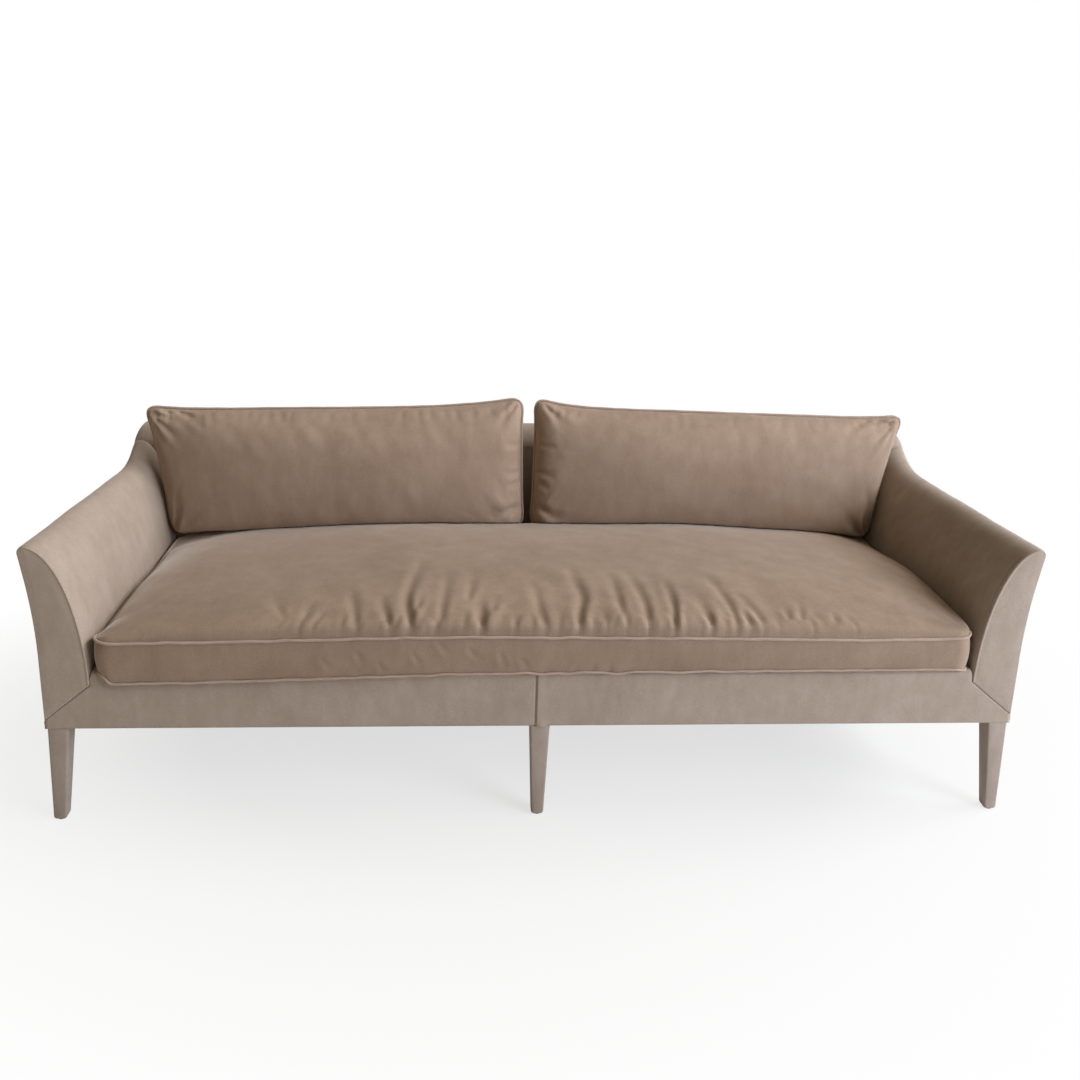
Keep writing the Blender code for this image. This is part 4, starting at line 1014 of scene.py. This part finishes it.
def piping(name, path, radius, axis, body):
    """Covered cord sewn along a closed seam that goes round an axis, standing half out of it."""
    ahead = np.roll(path, -1, axis=0) - np.roll(path, 1, axis=0)
    outward = np.cross(ahead, axis)
    outward /= np.linalg.norm(outward, axis=1)[:, None]
    outward *= np.sign(np.sum(outward * (path - path.mean(axis=0))))
    path = path + 0.55 * radius * outward
    path = path + 0.0006 * drift(path, 0.05, len(path))[:, None] * np.array([0.0, 0.4, 1.0])
    curve = bpy.data.curves.new(name, "CURVE")
    curve.dimensions = "3D"
    curve.bevel_depth = radius
    curve.bevel_resolution = 3
    line = curve.splines.new("POLY")
    line.points.add(len(path) - 1)
    line.points.foreach_set("co", np.concatenate([path, np.ones((len(path), 1))], axis=1).ravel())
    line.use_cyclic_u = True
    item = linked(name, curve)
    bpy.ops.object.select_all(action="DESELECT")
    item.select_set(True)
    bpy.context.view_layer.objects.active = item
    bpy.ops.object.convert(target="MESH")
    item = bpy.context.object
    item.data.name = name
    bpy.ops.object.shade_smooth()
    dress(item, piping_velvet, body, "cushion_velvet")


def tree_of(item):
    return BVHTree.FromPolygons(
        [vert.co for vert in item.data.vertices], [tuple(face.vertices) for face in item.data.polygons])


def seat_under(point, ground):
    """Height of the seat under a point of a back cushion."""
    x = min(max(point[0], 0.02 - SEAT_HALF), SEAT_HALF - 0.02)
    hit = ground.ray_cast(Vector((x, min(point[1], SEAT_REAR - 0.004), 1.0)), Vector((0.0, 0.0, -1.0)))
    return hit[0].z


def on_seat(points, out, up, ground):
    """Cushion whose foot has sunk or been pressed up to lie on the seat."""
    foot = np.nonzero(up == -1.0)[0]
    gaps = [points[index, 2] - BACK_PIPING - seat_under(points[index], ground) for index in foot]
    gaps = np.minimum(gaps, BACK_SINK)
    order = np.argsort(out[foot])
    drop = np.maximum(np.interp(out, out[foot][order], gaps[order]), 0.0)
    settled = points.copy()
    settled[:, 2] -= drop * unit(-up) ** 1.4
    for index in np.nonzero(up < 0.2)[0]:
        settled[index, 2] = max(settled[index, 2], seat_under(settled[index], ground) + BACK_PIPING)
    return settled


# Folds of a back cushion's front, in millimetres: depth, half width, then points out and up from its middle
BACK_FOLDS = (
    (8, 8, ((488, 134), (440, 120), (385, 112))),
    (6.5, 8, ((484, 120), (450, 96), (420, 80))),
    (6, 8, ((460, 140), (410, 130), (345, 118))),
    (4.5, 8, ((425, 140), (385, 128), (345, 100))),
    (4, 8, ((488, 106), (475, 80), (465, 40))),
    (4, 7, ((-488, 146), (-455, 120), (-440, 95))),
    (3.5, 7, ((-472, 154), (-430, 140), (-390, 134))),
    (4.5, 6, ((-488, 40), (-450, 46))),
    (6, 6, ((-484, -30), (-440, -36))),
    (6.5, 6, ((-482, -56), (-446, -66))),
    (6, 10, ((-470, -118), (-410, -134), (-330, -140))),
    (5, 8, ((462, -140), (452, -90), (455, -50))),
    (3, 8, ((450, -146), (410, -120), (380, -112))),
)


def back_shape(label, side, out, way, up, on_rim):
    """Plump back cushion before its folds, flat on its rim: its points and its width at each of them."""
    width = BACK_FOOT_WIDTH + BACK_SPREAD[label] * (1 + up) / 2
    inward = BACK_SIDE_DRAW * (1 - up ** 4)
    tall = np.where(out < 0, 1.0, BACK_OUTER_EAR)
    eared = tall * np.abs(out) ** np.where(out < 0, BACK_EAR[label], BACK_OUTER_POWER)
    flat_a, flat_b = round_corner(
        out * (width / 2 - inward), up * (BACK_HEIGHT / 2 - BACK_DRAW * (1 - eared)),
        width / 2, BACK_HEIGHT / 2 - BACK_DRAW * (1 - tall), BACK_CORNER)
    lost = np.where(up > 0, 1.0, 1.0 - BACK_BASE)
    edge = (1 - np.abs(out)) * width / 2
    shoulder = np.sqrt(1 - (1 - np.minimum(edge / np.where(out < 0, *BACK_SHOULDER), 1.0)) ** 2)
    firm = np.where(out < 0, *BACK_FIRM)
    plump = (firm * shoulder + (1 - firm) * (1 - np.abs(out) ** 2.6)) * (1 - lost * np.abs(up) ** 3.2) ** 0.8
    swelling = np.where(way > 0, BACK_REAR, BACK_FRONT)
    depth = np.where(on_rim, 0.0, way * (0.003 + swelling * plump))
    points = beside(flat_a, depth, flat_b)
    inner = unit((1 - np.abs(out)) * 12) * unit((1 - np.abs(up)) * 8)
    points[:, 1] += way * inner * (
        0.0015 * drift(points, 0.24, 71 + int(side)) + 0.0008 * drift(points, 0.06, 73 + int(side)))
    return points, width


def back_puckers(spread, seed):
    """Folds at the corners of a front panel and short gathers along its top seam."""
    pucker = np.zeros(len(spread))
    for depth, width, path in BACK_FOLDS:
        pucker += crease(spread, np.divide(path, 1000), depth / 1000, width / 1000)
    draw = np.random.default_rng(seed)
    top = BACK_HEIGHT / 2 - BACK_DRAW - 0.004
    spot = -0.46
    while spot < 0.47:
        path = ((spot, top), (spot + draw.uniform(-0.010, 0.010), top - draw.uniform(0.020, 0.050)))
        pucker += crease(spread, path, draw.uniform(0.0006, 0.0018), draw.uniform(0.006, 0.009))
        spot += draw.uniform(0.022, 0.055)
    return pucker


def back_cushion(label, side, velvet, seat):
    """Knife-edged back cushion: plump, drawn in between its eared corners, its foot on the seat."""
    places, faces, rim = knife_form(200, 70)
    out, way, up = places.T
    on_rim = (np.abs(out) == 1.0) | (np.abs(up) == 1.0)
    points, width = back_shape(label, side, out, way, up, on_rim)
    front = (way < 0) & ~on_rim
    held = unit((1 - np.abs(out[front])) * width[front] / 2 / 0.008)
    held *= unit((1 - np.abs(up[front])) * BACK_HEIGHT / 2 / 0.008)
    folds = held * back_puckers(points[front][:, (0, 2)], 75 + int(side))
    points[front, 1] -= folds
    loose = beside(
        out * width / 2 * BACK_SLACK[0], np.zeros(len(points)), up * BACK_HEIGHT / 2 * BACK_SLACK[1])
    cut = (points + loose) / 2
    for panel in (-1.0, 1.0):
        kept = np.nonzero((way == panel) | on_rim)[0]
        renumber = {old: new for new, old in enumerate(kept.tolist())}
        own = [quad for quad in faces if all(index in renumber for index in quad)]
        own = [tuple(renumber[index] for index in quad) for quad in own]
        pinned = np.nonzero(on_rim[kept])[0]
        points[kept] = settled_cloth(points[kept], cut[kept], own, pinned, BACK_PRESSURE)
    points[front, 1] -= BACK_FOLDS_KEPT * folds
    points[:, 0] = side * (width / 2 + points[:, 0])
    lean = Matrix.Rotation(-atan(BACK_RAKE), 3, "X") @ Matrix.Rotation(side * BACK_ROLL[label], 3, "Y")
    points = points @ np.array(lean).T + np.array(BACK_PLACE[label])
    if side < 0:
        faces = [quad[::-1] for quad in faces]
    item = mesh_piece(f"{label}_back_cushion_velvet", points, faces)
    sunk = on_seat(points, out, up, tree_of(seat))
    put_points(item, sunk)
    dress(item, velvet, f"{label}_back_cushion", "cushion_velvet", f"{label}_back_cushion")
    through = lean @ Vector((0.0, 1.0, 0.0))
    piping(f"{label}_back_cushion_piping", sunk[rim], BACK_PIPING, through, f"{label}_back_cushion")


frame_velvet = brushed_velvet("brushed_cotton_velvet", "#8a7a6c", "#a59485", "#b9aa9c", 0.0)
# The seat's and the back cushions' copies are one cloth painted a shade apart: painted shade on the seat,
# painted light on the back cushions.
seat_velvet = brushed_velvet("seat_cotton_velvet_painted_shade", "#7b6857", "#947e6b", "#a89380", 3.1)
back_velvet = brushed_velvet("back_cotton_velvet_painted_light", "#846f5e", "#9f8875", "#b39e8c", 3.1)
# The cords' copy of the cloth is painted lighter than the cushions': painted light for the light their round
# tops catch.
piping_velvet = brushed_velvet("piping_cotton_velvet_painted_light", "#8f7a6a", "#ab9483", "#bfab9c", 1.9)
leg_velvet = brushed_velvet("glued_cotton_velvet", "#8a7a6f", "#a39386", "#b6a89c", 5.7)

rail_cover(frame_velvet)
for label, side in SIDES:
    arm_facing(label, side, frame_velvet)
    inside_arm(label, side, frame_velvet)
    outside_arm(label, side, frame_velvet)
inside_back(frame_velvet)
outside_back(frame_velvet)
for row, depth, outward in (("front", LEG_FRONT_Y, -1.0), ("rear", LEG_REAR_Y, 1.0)):
    for column, lean in (("left", -1.0), ("middle", 0.0), ("right", 1.0)):
        wrapped_leg(f"{row}_{column}", lean * LEG_X, depth, lean, outward, leg_velvet)
seat = seat_cushion(seat_velvet)
for label, side in SIDES:
    back_cushion(label, side, back_velvet, seat)

seat_platform(woven("plain_woven_platform_cloth", "#514841", "#6a5f56", 3.0, 0.95))
# Spun-bonded fleece: pressed fibres with no weave, dull black
dust_sheet(speckled("spun_bonded_fleece", 260.0, 3.0, ((0.35, "#171616"), (0.7, "#2a2828")), 0.95))

beech = planed_beech("planed_beech")
# Zinc plate on turned steel: cool grey with a faint crystal mottle
zinc = speckled("zinc_plated_steel", 300.0, 2.0, ((0.3, "#a9adb4"), (0.7, "#c9cdd2")), 0.36, 1.0)
# Moulded nylon: satin black with the fine texture of the mould and dust in it
nylon = speckled("moulded_nylon", 900.0, 2.0, ((0.3, "#1c1c1c"), (0.75, "#2d2c2b")), 0.55)
webbing = woven("woven_elastic_webbing", "#6d5f40", "#9a8a62", 4.0, 0.85)
finishes = {"webbing_strap": webbing, "leg_bolt": zinc, "glide": nylon}
for name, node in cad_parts.items():
    finish = next((material for key, material in finishes.items() if key in name), beech)
    node.data.materials.clear()
    node.data.materials.append(finish)


def seen(tree):
    """1 for a ray that shows a surface, also in a gloss or through glass, and 0 for one of its light."""
    ray = add(tree, "ShaderNodeLightPath").outputs
    straight = maths(tree, "MAXIMUM", ray["Is Camera Ray"], ray["Is Glossy Ray"])
    return maths(tree, "MAXIMUM", straight, ray["Is Transmission Ray"])


def map_range(tree, value, start, end, low, high):
    inputs = {"Value": value, "From Min": start, "From Max": end, "To Min": low, "To Max": high}
    return add(tree, "ShaderNodeMapRange", inputs).outputs["Result"]


def floor_paper():
    """White floor: paper that takes the sofa's shadow near it, and plain white to the eye farther out."""
    bpy.ops.object.select_all(action="DESELECT")
    bpy.ops.mesh.primitive_plane_add(size=40.0)
    item = bpy.context.object
    item.name = "floor"
    material, tree, shader, place = new_material("white_paper")
    wire(tree, shader, {"Base Color": linear("#dcd9d5"), "Roughness": 0.9})
    reach = stretched(tree, place, (1 / 1.9, 1 / 1.3, 1.0))
    far = add(tree, "ShaderNodeVectorMath", {0: reach}, operation="LENGTH").outputs["Value"]
    white = maths(tree, "MULTIPLY", seen(tree), map_range(tree, far, 0.45, 1.0, 0.70, 1.0))
    glow = add(tree, "ShaderNodeEmission", {"Color": WHITE, "Strength": 1.0})
    mix = add(tree, "ShaderNodeMixShader", {0: white, 1: shader.outputs["BSDF"], 2: glow.outputs["Emission"]})
    wire(tree, tree.nodes["Material Output"], {"Surface": mix.outputs["Shader"]})
    item.data.materials.append(material)


def studio_world(overhead, level):
    """Soft room: warm light that grows towards the ceiling, plain white to the eye."""
    world = bpy.data.worlds.new("white_room")
    bpy.context.scene.world = world
    world.use_nodes = True
    tree = world.node_tree
    tree.nodes.clear()
    look = add(tree, "ShaderNodeTexCoord").outputs["Generated"]
    rise = add(tree, "ShaderNodeSeparateXYZ", {"Vector": look}).outputs["Z"]
    strength = map_range(tree, rise, 0.0, 1.0, level, overhead)
    room = add(tree, "ShaderNodeBackground", {"Color": linear("#ffeed2"), "Strength": strength})
    white = add(tree, "ShaderNodeBackground", {"Color": WHITE, "Strength": 1.0})
    mix = add(tree, "ShaderNodeMixShader", {
        0: seen(tree), 1: room.outputs["Background"], 2: white.outputs["Background"]})
    add(tree, "ShaderNodeOutputWorld", {"Surface": mix.outputs["Shader"]})


def soft_lamp(name, place, aim, size, power, colour):
    data = bpy.data.lights.new(name, "AREA")
    data.shape = "RECTANGLE"
    data.size, data.size_y = size
    data.energy = power
    data.color = linear(colour)[:3]
    lamp = linked(name, data)
    lamp.location = place
    lamp.rotation_euler = (Vector(aim) - Vector(place)).to_track_quat("-Z", "Y").to_euler()


floor_paper()
studio_world(0.34, 0.08)
soft_lamp("front_corner_lamp", (10.0, -7.1, 8.8), (0.0, -0.1, 0.4), (6.8, 6.8), 1060.0, "#f2f6fc")
soft_lamp("low_corner_lamp", (2.7, -1.9, 1.1), (0.8, -0.2, 0.5), (1.2, 1.2), 50.0, "#dae8ff")
soft_lamp("window_side_lamp", (15.0, 1.1, 12.6), (0.0, -0.1, 0.4), (8.8, 8.8), 2850.0, "#f2f6fc")

# Camera solved from the photo's straight edges, with its focal length and middle in the photo's 1080 pixels
EYE = (-0.1748, -2.3200, 1.4584)
YAW, PITCH, ROLL = 0.0547318, 0.24, 0.0249108
FOCAL = 960.2575 / 1080
SHIFT = ((540 - 516.6913) / 1080, (393.8634 - 540) / 1080)


def photo_camera():
    data = bpy.data.cameras.new("photo_camera")
    data.sensor_width = 36.0
    data.lens = FOCAL * data.sensor_width
    data.shift_x, data.shift_y = SHIFT
    camera = linked("photo_camera", data)
    ahead = Vector((sin(YAW) * cos(PITCH), cos(YAW) * cos(PITCH), -sin(PITCH)))
    right = Vector((cos(YAW), -sin(YAW), 0.0))
    above = right.cross(ahead)
    rolled_right = cos(ROLL) * right + sin(ROLL) * above
    rolled_up = cos(ROLL) * above - sin(ROLL) * right
    turn = Matrix((rolled_right, rolled_up, -ahead)).transposed().to_4x4()
    camera.matrix_world = Matrix.Translation(EYE) @ turn
    bpy.context.scene.camera = camera


photo_camera()
bpy.context.scene.view_settings.view_transform = "Standard"
